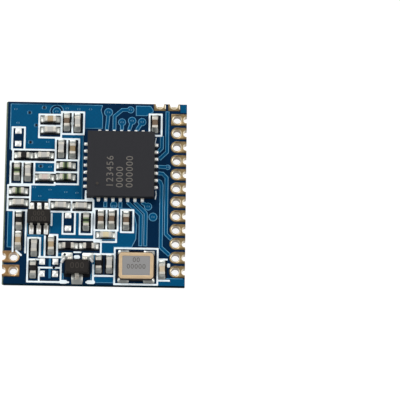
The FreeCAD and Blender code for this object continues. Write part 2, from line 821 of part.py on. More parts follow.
def package_leads(kind, rows):
    """The leads of a package, from the offsets of the leads on each of its sides."""
    shoulder = size("body_standoff") + size(f"{kind}_tall") / 2
    half_body, tip = size(f"{kind}_width") / 2, size(f"{kind}_span") / 2
    lead = gull_wing(half_body, tip, shoulder, size(f"{kind}_lead_width"))
    leads = []
    for angle, offsets in rows:
        turn = Rotation(Vector(0, 0, 1), angle)
        for offset in offsets:
            leads.append(turned(lead, turn.multVec(Vector(0, offset, 0)), angle))
    return Part.makeCompound(leads)


def make_package(kind, centre, rows):
    place = Placement(on_board(*centre, seat_level()), Rotation())
    leads = shape_feature(f"{kind}_lead_tool", package_leads(kind, rows))
    keep(cut_feature(f"{kind}_body", make_package_body(kind), leads), f"{kind}_body", place)
    keep(shape_feature(f"{kind}_leads", leads.Shape), f"{kind}_leads", place)


make_package("switch", SWITCH_AT, [(90, switch_offsets), (270, switch_offsets)])
make_package("transistor", TRANSISTOR_AT, [(90, transistor_offsets), (270, [0])])


# Crystal: ceramic tray, plated rim and flat lid

def make_crystal_base():
    body = doc.addObject("PartDesign::Body", "crystal_tray")
    outline = new_sketch(body, "crystal_outline")
    draw_rectangle(outline, "Sizes.crystal_length", "Sizes.crystal_width")
    add_pad(body, "crystal_block", outline, "Sizes.crystal_base_tall")
    notches = new_sketch(body, "crystal_notches", "Sizes.crystal_base_tall")
    for across in (-1, 1):
        for along in (-1, 1):
            draw_circle(
                notches,
                "2 * Sizes.crystal_notch",
                f"{across} * Sizes.crystal_length / 2",
                f"{along} * Sizes.crystal_width / 2",
            )
    add_pocket(body, "crystal_notching", notches, "Sizes.crystal_base_tall")
    return body


def plain_plate(name, width, length, tall):
    """A rectangular plate."""
    body = doc.addObject("PartDesign::Body", name)
    outline = new_sketch(body, f"{name}_outline")
    draw_rectangle(outline, width, length)
    add_pad(body, f"{name}_plate", outline, tall)
    return body


def rounded_plate(name, width, length, tall, corner):
    """A rectangular plate whose upright edges are rounded."""
    body = plain_plate(name, width, length, tall)
    plate = body.Tip
    upright = [f"Edge{n}" for n, e in enumerate(plate.Shape.Edges, 1) if e.BoundBox.ZLength > 1e-3]
    rounding = body.newObject("PartDesign::Fillet", f"{name}_rounding")
    rounding.Base = (plate, upright)
    rounding.setExpression("Radius", corner)
    doc.recompute()
    return body


crystal_place = Placement(on_board(*CRYSTAL_AT, seat_level()), Rotation())
rim_place = Placement(on_board(*CRYSTAL_AT, seat_level() + size("crystal_base_tall")), Rotation())
keep(make_crystal_base(), "crystal_base", crystal_place)
rim_outer = rounded_plate(
    "rim_blank",
    "Sizes.crystal_length - 2 * Sizes.rim_inset",
    "Sizes.crystal_width - 2 * Sizes.rim_inset",
    "Sizes.rim_tall",
    "Sizes.rim_corner",
)
lid_width = "Sizes.crystal_length - 2 * (Sizes.rim_inset + Sizes.rim_width)"
lid_length = "Sizes.crystal_width - 2 * (Sizes.rim_inset + Sizes.rim_width)"
window = plain_plate("rim_window", lid_width, lid_length, "Sizes.rim_tall")
keep(cut_feature("crystal_rim", rim_outer, window), "crystal_rim", rim_place)
lid = plain_plate("lid_plate", lid_width, lid_length, "Sizes.rim_tall - Sizes.lid_recess")
keep(lid, "crystal_lid", rim_place)


# Chip components

def box_feature(name, length, width, tall, at_x="0", at_z="0"):
    """A box centred across its width and on a place along X, bound to the sheet."""
    box = doc.addObject("Part::Box", name)
    box.setExpression("Length", length)
    box.setExpression("Width", width)
    box.setExpression("Height", tall)
    box.setExpression("Placement.Base.x", f"({at_x}) - ({length}) / 2")
    box.setExpression("Placement.Base.y", f"-({width}) / 2")
    box.setExpression("Placement.Base.z", at_z)
    return box


def make_chip(name, tall, glazed):
    """A ceramic block with a metal cap around each end, and a glaze on top of a resistor."""
    inner_tall = f"{tall} - 2 * Sizes.cap_wrap"
    core_width = "Sizes.chip_width - 2 * Sizes.cap_wrap"
    core_length = "Sizes.chip_length - 2 * Sizes.cap_wrap"
    pieces = [box_feature(f"{name}_core", core_length, core_width, inner_tall, at_z="Sizes.cap_wrap")]
    for side in ("-1", "1"):
        middle = f"{side} * (Sizes.chip_length - Sizes.cap_length) / 2"
        pieces.append(box_feature(f"{name}_cap", "Sizes.cap_length", "Sizes.chip_width", tall, at_x=middle))
    if glazed:
        top = f"{tall} - Sizes.cap_wrap"
        pieces.append(
            box_feature(f"{name}_glaze", "Sizes.glaze_length", core_width, "Sizes.glaze_thick", at_z=top)
        )
    chip = doc.addObject("Part::MultiFuse", name)
    chip.Shapes = pieces
    chip.Refine = True
    return chip


for rows, tall, glazed in (
    (CAPACITORS, "Sizes.capacitor_tall", False),
    (INDUCTORS, "Sizes.inductor_tall", False),
    (RESISTORS, "Sizes.resistor_tall", True),
):
    for name, x, y, angle in rows:
        place = Placement(on_board(x, y, land_level()), Rotation(Vector(0, 0, 1), angle))
        keep(make_chip(name, tall, glazed), name, place)

doc.recompute()

for item in doc.Objects:
    if "Invalid" in item.State or "Error" in item.State:
        raise RuntimeError(f"{item.Label} failed: {item.State}")
for part in subparts:
    if part.Shape.isNull() or not part.Shape.isValid():
        raise RuntimeError(f"{part.Label} has no valid shape")
for part in subparts:
    part.Shape.exportStep(f"parts/{part.Label}.step")
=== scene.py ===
import math
import random

import bmesh
import bpy
from mathutils import Matrix, Vector


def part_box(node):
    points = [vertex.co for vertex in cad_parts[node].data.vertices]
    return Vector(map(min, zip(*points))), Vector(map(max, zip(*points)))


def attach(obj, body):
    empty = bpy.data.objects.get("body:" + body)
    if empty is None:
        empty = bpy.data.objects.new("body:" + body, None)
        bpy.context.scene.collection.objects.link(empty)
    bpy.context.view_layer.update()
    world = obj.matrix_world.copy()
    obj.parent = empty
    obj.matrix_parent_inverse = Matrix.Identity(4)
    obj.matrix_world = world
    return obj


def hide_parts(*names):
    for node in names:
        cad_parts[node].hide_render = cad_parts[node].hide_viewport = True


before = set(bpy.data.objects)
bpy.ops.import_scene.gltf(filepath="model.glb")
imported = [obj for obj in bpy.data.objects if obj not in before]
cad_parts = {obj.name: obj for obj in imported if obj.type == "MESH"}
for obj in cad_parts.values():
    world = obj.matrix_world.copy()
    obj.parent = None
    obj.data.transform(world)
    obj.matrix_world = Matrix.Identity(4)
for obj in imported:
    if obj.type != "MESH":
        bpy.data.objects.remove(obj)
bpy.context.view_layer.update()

bl_info = {
    "name": "Radio Module Looks",
    "version": (1, 0, 0),
    "blender": (4, 5, 0),
    "location": "View3D > Sidebar > Radio Module",
    "description": "Dresses the packed radio module: mask, gold, solder, chips, print and stage",
    "category": "Object",
}

# Pieces are shaped in millimetres and brought to metres when they are settled
MM = 0.001

# Heights of the module's levels in millimetres, as in the part's source
LAMINATE_TOP = 0.8
COPPER_TOP = 0.835
LAND_TOP = 0.84
INK_TOP = 0.855
SKIRT = LAND_TOP - LAMINATE_TOP

# Levels of thin sheets that lie over others, apart from them by a hair
OPENING_TOP = LAMINATE_TOP + 0.006
POUR_TOP = COPPER_TOP + 0.002
WELL_LEVEL = COPPER_TOP + 0.006
TOUCH_TOP = INK_TOP + 0.002
HIGHLIGHT_TOP = LAND_TOP + 0.006
BURR_TOP = LAND_TOP - 0.004
BURR_FOOT = LAMINATE_TOP - 0.3
MARK_LIFT = 0.001

# Plan sizes of the module, in millimetres
BOARD_WIDTH = 16.0
BOARD_LENGTH = 16.7
PAD_PITCH = 1.27
HEADER_PADS = 12
# Points on a quarter of a plated pad's loops
PAD_STEPS = 12
RADIO_LEAD_PITCH = 0.65
SMALL_LEAD_PITCH = 0.65
TRANSISTOR_LAND_PITCH = 1.8496
CRYSTAL_LAND_SHIFT = 1.13

CAPACITOR_TINTS = ("tan", "brown", "pale")
ODD_TINTS = {
    "pale_capacitor_11": "cream_ceramic",
    "pale_capacitor_13": "sand_ceramic",
    "pale_capacitor_6": "rose_ceramic",
    "tan_capacitor_4": "olive_ceramic",
}
# Chips lie a little askew, by up to this many degrees
CHIP_TILT = 1.6
TILT_SEED = 11
GLAZE_STEP = 0.006

# Footprints with no component: plan place and direction
EMPTY_FOOTPRINTS = ((0.95, 13.38, 90), (5.56, 5.66, 90), (3.94, 2.02, 0), (3.94, 0.92, 0))
# The pour stays clear of the components: rectangles by two opposite corners, in plan
CLEARINGS = (
    (0.42, 12.25, 1.52, 14.30), (2.79, 13.40, 4.77, 15.53), (4.80, 13.76, 6.76, 15.80),
    (4.32, 11.33, 6.40, 13.29), (0.34, 9.05, 2.45, 11.13), (4.30, 9.12, 6.37, 11.33),
    (0.22, 6.66, 2.14, 8.95), (0.0, 8.85, 0.54, 12.3), (3.86, 6.58, 7.77, 7.65),
    (5.09, 4.57, 6.17, 6.58), (6.61, 4.57, 7.68, 6.58), (7.90, 4.95, 9.98, 6.90),
    (10.27, 4.81, 11.35, 6.84), (0.52, 11.13, 4.30, 12.25), (2.45, 9.05, 4.30, 10.15),
    (0.72, 3.30, 1.83, 6.66), (2.06, 2.19, 3.13, 4.15), (2.06, 0.20, 3.10, 2.19),
    (3.55, 2.43, 4.65, 4.46), (4.65, 2.80, 8.52, 4.05), (3.10, 0.20, 5.02, 2.43),
    (7.98, 0.80, 9.70, 2.78), (5.10, 0.95, 7.80, 2.80), (2.00, 4.45, 3.96, 7.22),
)
OPEN_VIAS = ((1.90, 15.69), (3.20, 16.18), (2.54, 14.53), (2.05, 12.94), (4.42, 1.45), (3.02, 10.75))
TENTED_VIAS = (
    (0.65, 16.0), (0.88, 14.73), (3.58, 13.0), (5.25, 16.15), (6.3, 16.1), (7.35, 16.1),
    (2.5, 8.8), (3.9, 8.6), (5.3, 8.4), (6.3, 8.35), (3.0, 8.0), (3.85, 10.7), (4.33, 15.85), (8.97, 15.85),
    (10.95, 16.12), (10.2, 14.95), (11.1, 15.1), (12.0, 15.0), (14.35, 10.85), (12.65, 7.2), (13.1, 6.25),
    (9.6, 7.2),
)
# Mouths of holes under print and solder, dark with painted shade: plan place and height
SHADED_MOUTHS = ((4.40, 1.50, INK_TOP), (4.58, 1.67, INK_TOP), (5.33, 2.68, LAND_TOP + 0.112))

# Strokes, each by its two ends and its width, in plan. Small touches of print:
PRINT_TOUCHES = (
    (1.04, 2.94, 1.46, 2.58, 0.18), (6.31, 2.48, 6.53, 2.48, 0.33), (6.16, 2.91, 6.74, 2.91, 0.13),
    (5.75, 14.72, 5.75, 14.8, 0.24), (14.55, 1.9, 14.55, 1.78, 0.26), (7.62, 7.8, 7.7, 7.74, 0.2),
    (13.32, 8.62, 13.36, 8.28, 0.07), (13.36, 8.28, 13.28, 7.9, 0.09), (13.28, 13.5, 13.2, 13.1, 0.07),
    (13.2, 13.1, 13.26, 12.8, 0.08), (7.46, 0.22, 7.9, 0.22, 0.33), (5.07, 0.21, 5.45, 0.21, 0.33),
    (9.82, 0.09, 13.48, 0.09, 0.14),
)
# Copper that runs out to the board's edges at the right
EDGE_POURS = ((13.95, 0.32, 15.67, 0.32, 0.62), (15.70, 16.20, 15.70, 16.36, 0.56))
# A paler track between two empty footprints
PALE_TRACK = (4.04, 0.62, 4.04, 2.5, 0.2)
# Gold left in the half holes of the upper edge, and painted highlights on the right sides of their lands
BURRS = ((13.46, 16.335, 13.68, 16.335, 0.2), (14.73, 16.335, 14.95, 16.335, 0.2))
HIGHLIT_SIDES = ((14.05, 16.3, 14.05, 16.58, 0.09), (15.32, 16.27, 15.32, 16.56, 0.09))
# Dark openings in the mask round the larger packages and beside the radio chip's leads; their dark also
# paints the shadows there
DARK_GAPS_AND_SHADOWS = (
    (6.12, 1.45, 6.82, 1.45, 1.6), (2.98, 5.3, 2.98, 6.7, 1.95), (11.35, 1.75, 12.0, 1.75, 2.8),
    (13.3, 9.1, 13.3, 12.7, 0.3),
)
# The dark mask gap round a chip, which also paints its shadow: half the length of its stroke, and its width
CHIP_SHADOW_REACH = 0.5
CHIP_SHADOW_WIDTH = 0.86

# Where the print is broken between two chips, as a rectangle in plan
PRINT_GAP = (4.16, 9.31, 4.38, 10.05)
# Solder drawn out from the corners of the transistor's lands: plan place and direction
LAND_TONGUES = ((5.35, 2.42, 237), (7.5, 2.5, 307))

# Heights of a solder skin as shares of its rise, across its width and along a hollow joint
ROUND_ACROSS = (0.08, 0.5, 0.78, 0.94, 1.0, 0.94, 0.78, 0.5, 0.08)
FLAT_ACROSS = (0.3, 0.84, 0.98, 1.0, 1.0, 1.0, 0.98, 0.84, 0.3)
HOLLOW_ALONG = (1.0, 0.84, 0.58, 0.38, 0.23, 0.12, 0.05, 0.0)
HOLLOW_TOE = 0.84
# How far a chip's joint starts inside the chip
JOINT_SUNK = 0.05
# Other skins: start from the package's centre, length, width, rise, toe's share of the width, heights along
SKINS = {
    "tinned_dome": (0.34, 0.5, 0.56, 0.11, 0.92, (0.1, 0.6, 0.9, 1.0, 1.0, 0.9, 0.6, 0.1)),
    "radio_bead": (3.01, 0.31, 0.3, 0.12, 0.72, (0.5, 0.82, 0.96, 1.0, 0.94, 0.78, 0.48, 0.04)),
    "foot_joint": (0.7, 0.8, 0.4, 0.12, 0.85, (0.15, 0.5, 0.75, 0.95, 1.0, 0.85, 0.5, 0.2, 0.02)),
    "short_foot_joint": (0.7, 0.66, 0.38, 0.12, 0.85, (0.15, 0.5, 0.8, 1.0, 0.85, 0.5, 0.2, 0.02)),
    "wide_joint": (0.7, 0.66, 1.02, 0.11, 0.9, (0.15, 0.5, 0.75, 0.95, 1.0, 0.85, 0.5, 0.2, 0.02)),
    "low_joint": (0.58, 0.9, 1.02, 0.12, 0.9, (0.2, 0.6, 0.85, 1.0, 0.9, 0.6, 0.4, 0.2, 0.02)),
    "joint_tongue": (0.0, 0.58, 0.26, 0.09, 0.7, (0.7, 1.0, 0.9, 0.6, 0.3, 0.05)),
    "crystal_joint": (1.07, 0.4, 1.0, 0.24, 0.9, (1.0, 0.9, 0.7, 0.45, 0.2, 0.02)),
}

# Finishes that only drift: colour, roughness, metallic, specular, spread, grain per mm, relief in mm
PLAIN_FINISHES = {
    "mask_opening": ("opening", 0.6, 0.0, 0.1, 0.3, 5.0, 0.004),
    # Thinner mask's tint with a painted highlight, for the copper's slopes
    "mask_slope": ("mask_edge", 0.35, 0.0, 0.2, 0.12, 5.0, 0.004),
    # A painted highlight, for the right sides of the upper edge's lands
    "worn_gold": ("gold_lip", 0.34, 0.3, 0.5, 0.1, 3.0, 0.004),
    "solder": ("solder", 0.38, 0.8, 0.5, 0.1, 4.0, 0.001),
    # A lighter copy of the solder, painted highlight
    "bead_solder": ("bead", 0.3, 0.2, 0.5, 0.04, 4.0, 0.001),
    "pale_mask": ("pale_mask", 0.35, 0.0, 0.1, 0.2, 5.0, 0.004),
    "tin": ("tin", 0.36, 0.55, 0.5, 0.1, 8.0, 0.008),
    "print": ("ink", 0.6, 0.0, 0.3, 0.05, 7.0, 0.01),
    "radio_moulding": ("moulding", 0.7, 0.0, 0.12, 0.16, 14.0, 0.004),
    "small_moulding": ("small_moulding", 0.62, 0.0, 0.12, 0.2, 14.0, 0.004),
    "laser_mark": ("mark", 0.8, 0.0, 0.1, 0.2, 20.0, 0.004),
    "faint_mark": ("faint_mark", 0.8, 0.0, 0.1, 0.2, 20.0, 0.004),
    "lid_mark": ("lid_mark", 0.8, 0.0, 0.1, 0.2, 20.0, 0.004),
    "crystal_rim": ("rim", 0.4, 0.6, 0.5, 0.12, 3.0, 0.004),
    "crystal_lid": ("lid", 0.6, 0.15, 0.2, 0.08, 12.0, 0.004),
    "crystal_tray": ("tray", 0.6, 0.0, 0.5, 0.2, 8.0, 0.004),
    "black_glaze": ("glaze", 0.4, 0.0, 0.2, 0.15, 6.0, 0.004),
    "green_band": ("band", 0.45, 0.0, 0.4, 0.15, 9.0, 0.004),
    "via_dark": ("mouth", 0.7, 0.0, 0.2, 0.12, 5.0, 0.004),
}
CERAMIC_TINTS = (*CAPACITOR_TINTS, "cream", "sand", "rose", "olive", "green")
CERAMIC_FINISH = (0.5, 0.0, 0.4, 0.12, 9.0, 0.006)

# The camera of the photo, fitted to the board's outline and its holes
CAMERA_PLACE = (0.003860, -0.062618, 0.245781)
CAMERA_TURN = (0.245158, -0.024910, 0.011252)
CAMERA_LENS = 244.956
# Lamps, each with its place and size in metres and its power
LAMPS = {
    "key_lamp": ((-0.08, 0.34, 0.42), 0.22, 1.4),
    "side_lamp": ((-0.45, 0.02, 0.30), 0.2, 1.25),
    "fill_lamp": ((0.42, 0.0, 0.32), 0.2, 1.2),
}
# The floor as the camera and reflections see it, and as its light reaches the module
FLOOR_SIZE = 6
FLOOR_LEVEL = -0.00002
FLOOR_LIT = (0.86, 0.86, 0.86, 1.0)
FLOOR_SEEN = (0.16, 0.16, 0.16, 1.0)
FLOOR_GLOW = 0.93
# The world's tone near the horizon and overhead, and the heights between which it changes
HORIZON = (0.9, 0.9, 0.9, 1.0)
OVERHEAD = (0.15, 0.155, 0.165, 1.0)
WORLD_RAMP = (0.06, 0.3)

GROUPS = {}
MATERIALS = {}


def sheet_colour(red, green, blue):
    """A colour as a colour picker shows it, in the scene's linear values."""
    def linear(value):
        share = value / 255
        return share / 12.92 if share <= 0.04045 else ((share + 0.055) / 1.055) ** 2.4
    return tuple(linear(value) for value in (red, green, blue))


def length_slot(name, description, millimetres):
    return bpy.props.FloatProperty(
        name=name, description=description, default=millimetres * MM, min=0.0, precision=6, unit="LENGTH"
    )


def colour_slot(name, description, red, green, blue):
    return bpy.props.FloatVectorProperty(
        name=name, description=description, default=sheet_colour(red, green, blue),
        min=0.0, max=1.0, size=3, subtype="COLOR",
    )


class ModuleSizes(bpy.types.PropertyGroup):
    """Sizes of the modelled details"""

    chip_length: length_slot("Chip length", "Length of a chip component", 1.0)
    chip_width: length_slot("Chip width", "Width of a chip component", 0.5)
    chip_tall: length_slot("Chip height", "Height of a capacitor or inductor", 0.5)
    resistor_tall: length_slot("Resistor height", "Height of a resistor", 0.335)
    cap_length: length_slot("End cap length", "Length of the metal cap on a chip's end", 0.25)
    cap_step: length_slot("End cap step", "How far an end cap stands proud of the ceramic", 0.016)
    band_half: length_slot("Band half width", "Half the width of an inductor's dark band", 0.13)
    chip_round: length_slot("Chip rounding", "Rounding of a chip's edges", 0.04)
    joint_toe: length_slot("Joint toe", "How far solder runs out from a chip", 0.38)
    joint_rise: length_slot("Joint rise", "How high solder climbs a chip's end", 0.34)
    joint_width: length_slot("Joint width", "Width of a chip's solder joint", 0.56)
    body_round: length_slot("Moulding rounding", "Rounding of a moulded body's edges", 0.03)
    lead_round: length_slot("Lead rounding", "Rounding of a lead's edges", 0.014)
    copper_slope: length_slot("Copper slope", "Width of the mask's slope at a copper edge", 0.06)
    ink_round: length_slot("Print rounding", "Rounding of the printed corners", 0.05)
    hole_radius: length_slot("Hole radius", "Radius of a plated hole", 0.35)
    notch_radius: length_slot("Half hole radius", "Radius of a half hole on the board's edge", 0.3)
    top_notch_radius: length_slot("Top half hole radius", "Radius of a half hole on the upper edge", 0.38)
    plating: length_slot("Plating", "Thickness of the plated copper", 0.04)
    lip_width: length_slot("Lip width", "Width of the rounded lip about a plated hole", 0.08)
    pad_half: length_slot("Pad half width", "Half the width of an edge pad", 0.54)
    header_inset: length_slot("Header inset", "Right edge to the row of holes", 0.862)
    header_start: length_slot("Header start", "Lower edge to the first hole", 1.287)
    aerial_inset: length_slot("Aerial inset", "Left edge to the aerial holes", 0.82)
    aerial_start: length_slot("Aerial start", "Lower edge to the first aerial hole", 1.15)
    top_inset: length_slot("Top pad inset", "Right edge to the first pad on the upper edge", 1.16)
    top_reach: length_slot("Top pad reach", "Depth of a pad on the upper edge", 0.62)
    via_radius: length_slot("Via radius", "Outer radius of an open via's ring", 0.21)
    snapped: length_slot("Snapped edge", "How far the snapped left edge stands past the plan's", 0.18)


class ModuleColours(bpy.types.PropertyGroup):
    """Colours of the module's finishes"""

    mask_copper: colour_slot("Mask over copper", "Blue mask where copper lies under it", 1, 77, 117)
    mask_bare: colour_slot("Mask over laminate", "Blue mask where no copper lies under it", 1, 36, 66)
    # Mask on slopes: lighter where the mask thins over a copper edge, with a painted highlight on the ridge.
    mask_edge: colour_slot("Mask on slopes", "Mask where it slopes down a copper edge", 84, 146, 180)
    pale_mask: colour_slot("Pale mask", "Thin mask over the paler track", 52, 112, 150)
    # Via glint: a painted highlight on the left and right slopes of a via's ring.
    glint: colour_slot("Via glint", "Thin mask on the sides of a via's ring", 120, 172, 194)
    laminate: colour_slot("Laminate edge", "Glass and resin along the snapped edge", 108, 118, 104)
    # Board wall: a dark colour that paints the shade on the laminate's edge faces.
    wall: colour_slot("Board wall", "The board's sawn edge faces and the inner part of the score", 12, 38, 52)
    # Mask opening colour: dark ground of the openings, which also paints the shadows round the components.
    opening: colour_slot("Mask opening", "Dark ground round the components", 20, 23, 28)
    gold: colour_slot("Gold", "Gold on the plated pads", 154, 130, 88)
    warm_gold: colour_slot("Warm gold", "Gold on the two aerial pads", 164, 127, 82)
    # Gold highlight: a painted highlight on the lips about the holes and on the right sides of the upper
    # lands.
    gold_lip: colour_slot("Gold lip", "Worn bright lip about the holes", 252, 240, 210)
    # Gold brink: painted shade along the pads' long sides and on the walls of the holes.
    brink: colour_slot("Gold brink", "Dark tarnish along the pads' long sides", 84, 68, 46)
    solder: colour_slot("Solder", "Bright solder", 197, 199, 193)
    # Bead: a whiter, less metallic copy of the solder, a painted highlight on the bright joints.
    bead: colour_slot("Bead", "Rounded solder at the radio chip's leads", 250, 250, 246)
    tin: colour_slot("Tin", "Tinned ends and leads", 214, 209, 197)
    ink: colour_slot("Print", "White legend print", 236, 246, 250)
    moulding: colour_slot("Radio moulding", "Moulding compound of the radio chip", 47, 47, 50)
    small_moulding: colour_slot("Package moulding", "Moulding compound of the small packages", 40, 37, 35)
    mark: colour_slot("Laser mark", "Marks burnt into the radio chip", 112, 108, 102)
    faint_mark: colour_slot("Faint mark", "Marks burnt into the small packages", 66, 62, 57)
    lid_mark: colour_slot("Lid mark", "Marks burnt into the crystal's lid", 92, 88, 84)
    rim: colour_slot("Crystal rim", "Plated rim of the crystal", 218, 190, 152)
    lid: colour_slot("Crystal lid", "Nickel lid of the crystal", 146, 145, 144)
    tray: colour_slot("Crystal tray", "Ceramic tray of the crystal", 48, 38, 34)
    tan: colour_slot("Tan ceramic", "Tan capacitors", 172, 150, 116)
    brown: colour_slot("Brown ceramic", "Brown capacitors", 110, 90, 70)
    pale: colour_slot("Pale ceramic", "Pale capacitors", 186, 184, 178)
    cream: colour_slot("Cream ceramic", "The creamiest of the pale capacitors", 214, 200, 160)
    sand: colour_slot("Sand ceramic", "A pale capacitor with a tan cast", 202, 184, 156)
    rose: colour_slot("Rose ceramic", "A pale capacitor with a rose cast", 206, 188, 180)
    olive: colour_slot("Olive ceramic", "The darkest of the tan capacitors", 142, 122, 88)
    green: colour_slot("Green ceramic", "Chip inductors", 140, 154, 112)
    band: colour_slot("Inductor band", "Dark green band across an inductor", 28, 46, 20)
    glaze: colour_slot("Resistor glaze", "Black glaze on the resistors", 28, 25, 25)
    # Hole mouth: painted shade inside the holes.
    mouth: colour_slot("Hole mouth", "The dark inside of an open via", 13, 18, 29)


def mm(name):
    """A size from the panel, in millimetres."""
    return getattr(bpy.context.scene.radio_module_sizes, name) / MM


def colour(name):
    return (*getattr(bpy.context.scene.radio_module_colours, name), 1.0)


def on_board(x, y, z=0.0):
    """A plan place, measured from the board's lower left corner, in the part's frame."""
    return Vector((x - BOARD_WIDTH / 2, y - BOARD_LENGTH / 2, z))


# Node groups and materials


def make_group(name, inputs, outputs):
    """An empty node group, and the sockets at its two ends. Inputs are given with their defaults."""
    group = bpy.data.node_groups.new(name, "ShaderNodeTree")
    for label, value in inputs.items():
        kind = "NodeSocketColor" if label == "Colour" else "NodeSocketFloat"
        socket = group.interface.new_socket(name=label, in_out="INPUT", socket_type=kind)
        socket.default_value = value
    for label in outputs:
        kind = "NodeSocketColor" if label == "Colour" else "NodeSocketFloat"
        group.interface.new_socket(name=label, in_out="OUTPUT", socket_type=kind)
    GROUPS[name] = group
    return group, group.nodes.new("NodeGroupInput").outputs, group.nodes.new("NodeGroupOutput").inputs


def add_node(tree, kind, values=None, **links):
    """A node with its plain values, fed by the named sockets."""
    node = tree.nodes.new(kind)
    for key, value in (values or {}).items():
        if key in node.inputs:
            node.inputs[key].default_value = value
        else:
            setattr(node, key, value)
    for key, source in links.items():
        tree.links.new(source, node.inputs[key.replace("_", " ")])
    return node


def maths(tree, operation, first, second=None):
    """A Math node over sockets or numbers."""
    node = tree.nodes.new("ShaderNodeMath")
    node.operation = operation
    for slot, value in zip(node.inputs, (first, second)):
        if value is None:
            continue
        if isinstance(value, (int, float)):
            slot.default_value = value
        else:
            tree.links.new(value, slot)
    return node.outputs[0]


def blend_colours(tree, factor, first, second, mode="MIX"):
    """A Mix node over two colours."""
    node = tree.nodes.new("ShaderNodeMix")
    node.data_type = "RGBA"
    node.blend_type = mode
    factor_slot, first_slot, second_slot = node.inputs[0], node.inputs[6], node.inputs[7]
    for slot, value in ((factor_slot, factor), (first_slot, first), (second_slot, second)):
        if isinstance(value, bpy.types.NodeSocket):
            tree.links.new(value, slot)
        else:
            slot.default_value = value
    return node.outputs[2]


def axes_of(tree, vector):
    """The X, Y and Z of one of the texture coordinates."""
    coordinate = tree.nodes.new("ShaderNodeTexCoord").outputs[vector]
    return add_node(tree, "ShaderNodeSeparateXYZ", Vector=coordinate).outputs


def ramp(tree, value, low, high, floor=0.0):
    """From the floor at one bound up to 1 at the other."""
    bounds = {"From Min": low, "From Max": high, "To Min": floor}
    return add_node(tree, "ShaderNodeMapRange", bounds, Value=value).outputs["Result"]


def build_mottle():
    """A colour that drifts between two neighbours, with a fine height."""
    given = {"Colour": (0.5, 0.5, 0.5, 1.0), "Spread": 0.2, "Grain per mm": 4.0}
    group, source, sink = make_group("Mottle", given, ("Colour", "Height"))
    place = group.nodes.new("ShaderNodeTexCoord").outputs["Object"]
    per_metre = maths(group, "MULTIPLY", source["Grain per mm"], 1 / MM)
    grain = add_node(group, "ShaderNodeVectorMath", {"operation": "SCALE"}, Vector=place, Scale=per_metre)
    noise = add_node(
        group, "ShaderNodeTexNoise", {"Scale": 1.0, "Detail": 4.0, "Roughness": 0.6}, Vector=grain.outputs[0],
    ).outputs["Fac"]
    drift = maths(group, "MULTIPLY", maths(group, "SUBTRACT", noise, 0.5), 2.0)
    level = maths(group, "ADD", maths(group, "MULTIPLY", drift, source["Spread"]), 1.0)
    tinted = add_node(
        group, "ShaderNodeVectorMath", {"operation": "SCALE"}, Vector=source["Colour"], Scale=level,
    )
    group.links.new(tinted.outputs[0], sink["Colour"])
    group.links.new(noise, sink["Height"])


def build_weave():
    """The glass cloth that shows faintly through the mask."""
    group, source, sink = make_group("Glass Weave", {"Threads per mm": 2.4}, ("Mask",))
    axes = axes_of(group, "Object")
    turn = maths(group, "MULTIPLY", source["Threads per mm"], 2 * math.pi / MM)
    warp, weft = (maths(group, "SINE", maths(group, "MULTIPLY", axes[axis], turn)) for axis in "XY")
    half = maths(group, "MULTIPLY", maths(group, "MULTIPLY", warp, weft), 0.5)
    group.links.new(maths(group, "ADD", half, 0.5), sink["Mask"])


def build_level_faces():
    """1 on faces that look about straight up or down, 0 on walls."""
    group, source, sink = make_group("Level Faces", {"Start": 0.8}, ("Mask",))
    steep = maths(group, "ABSOLUTE", axes_of(group, "Normal")["Z"])
    group.links.new(maths(group, "GREATER_THAN", steep, source["Start"]), sink["Mask"])


def build_scored_edge():
    """1 on the outer part of the snapped left edge, with a torn border."""
    group, source, sink = make_group("Scored Edge", {"Border in mm": -0.05}, ("Mask",))
    place = group.nodes.new("ShaderNodeTexCoord").outputs["Object"]
    along = add_node(group, "ShaderNodeSeparateXYZ", Vector=place).outputs["X"]
    inward = maths(group, "ADD", maths(group, "MULTIPLY", along, 1 / MM), BOARD_WIDTH / 2)
    noise = add_node(group, "ShaderNodeTexNoise", {"Scale": 2500.0, "Detail": 2.0}, Vector=place)
    torn = maths(group, "MULTIPLY", maths(group, "SUBTRACT", noise.outputs["Fac"], 0.5), 0.1)
    border = maths(group, "ADD", source["Border in mm"], torn)
    group.links.new(maths(group, "LESS_THAN", inward, border), sink["Mask"])


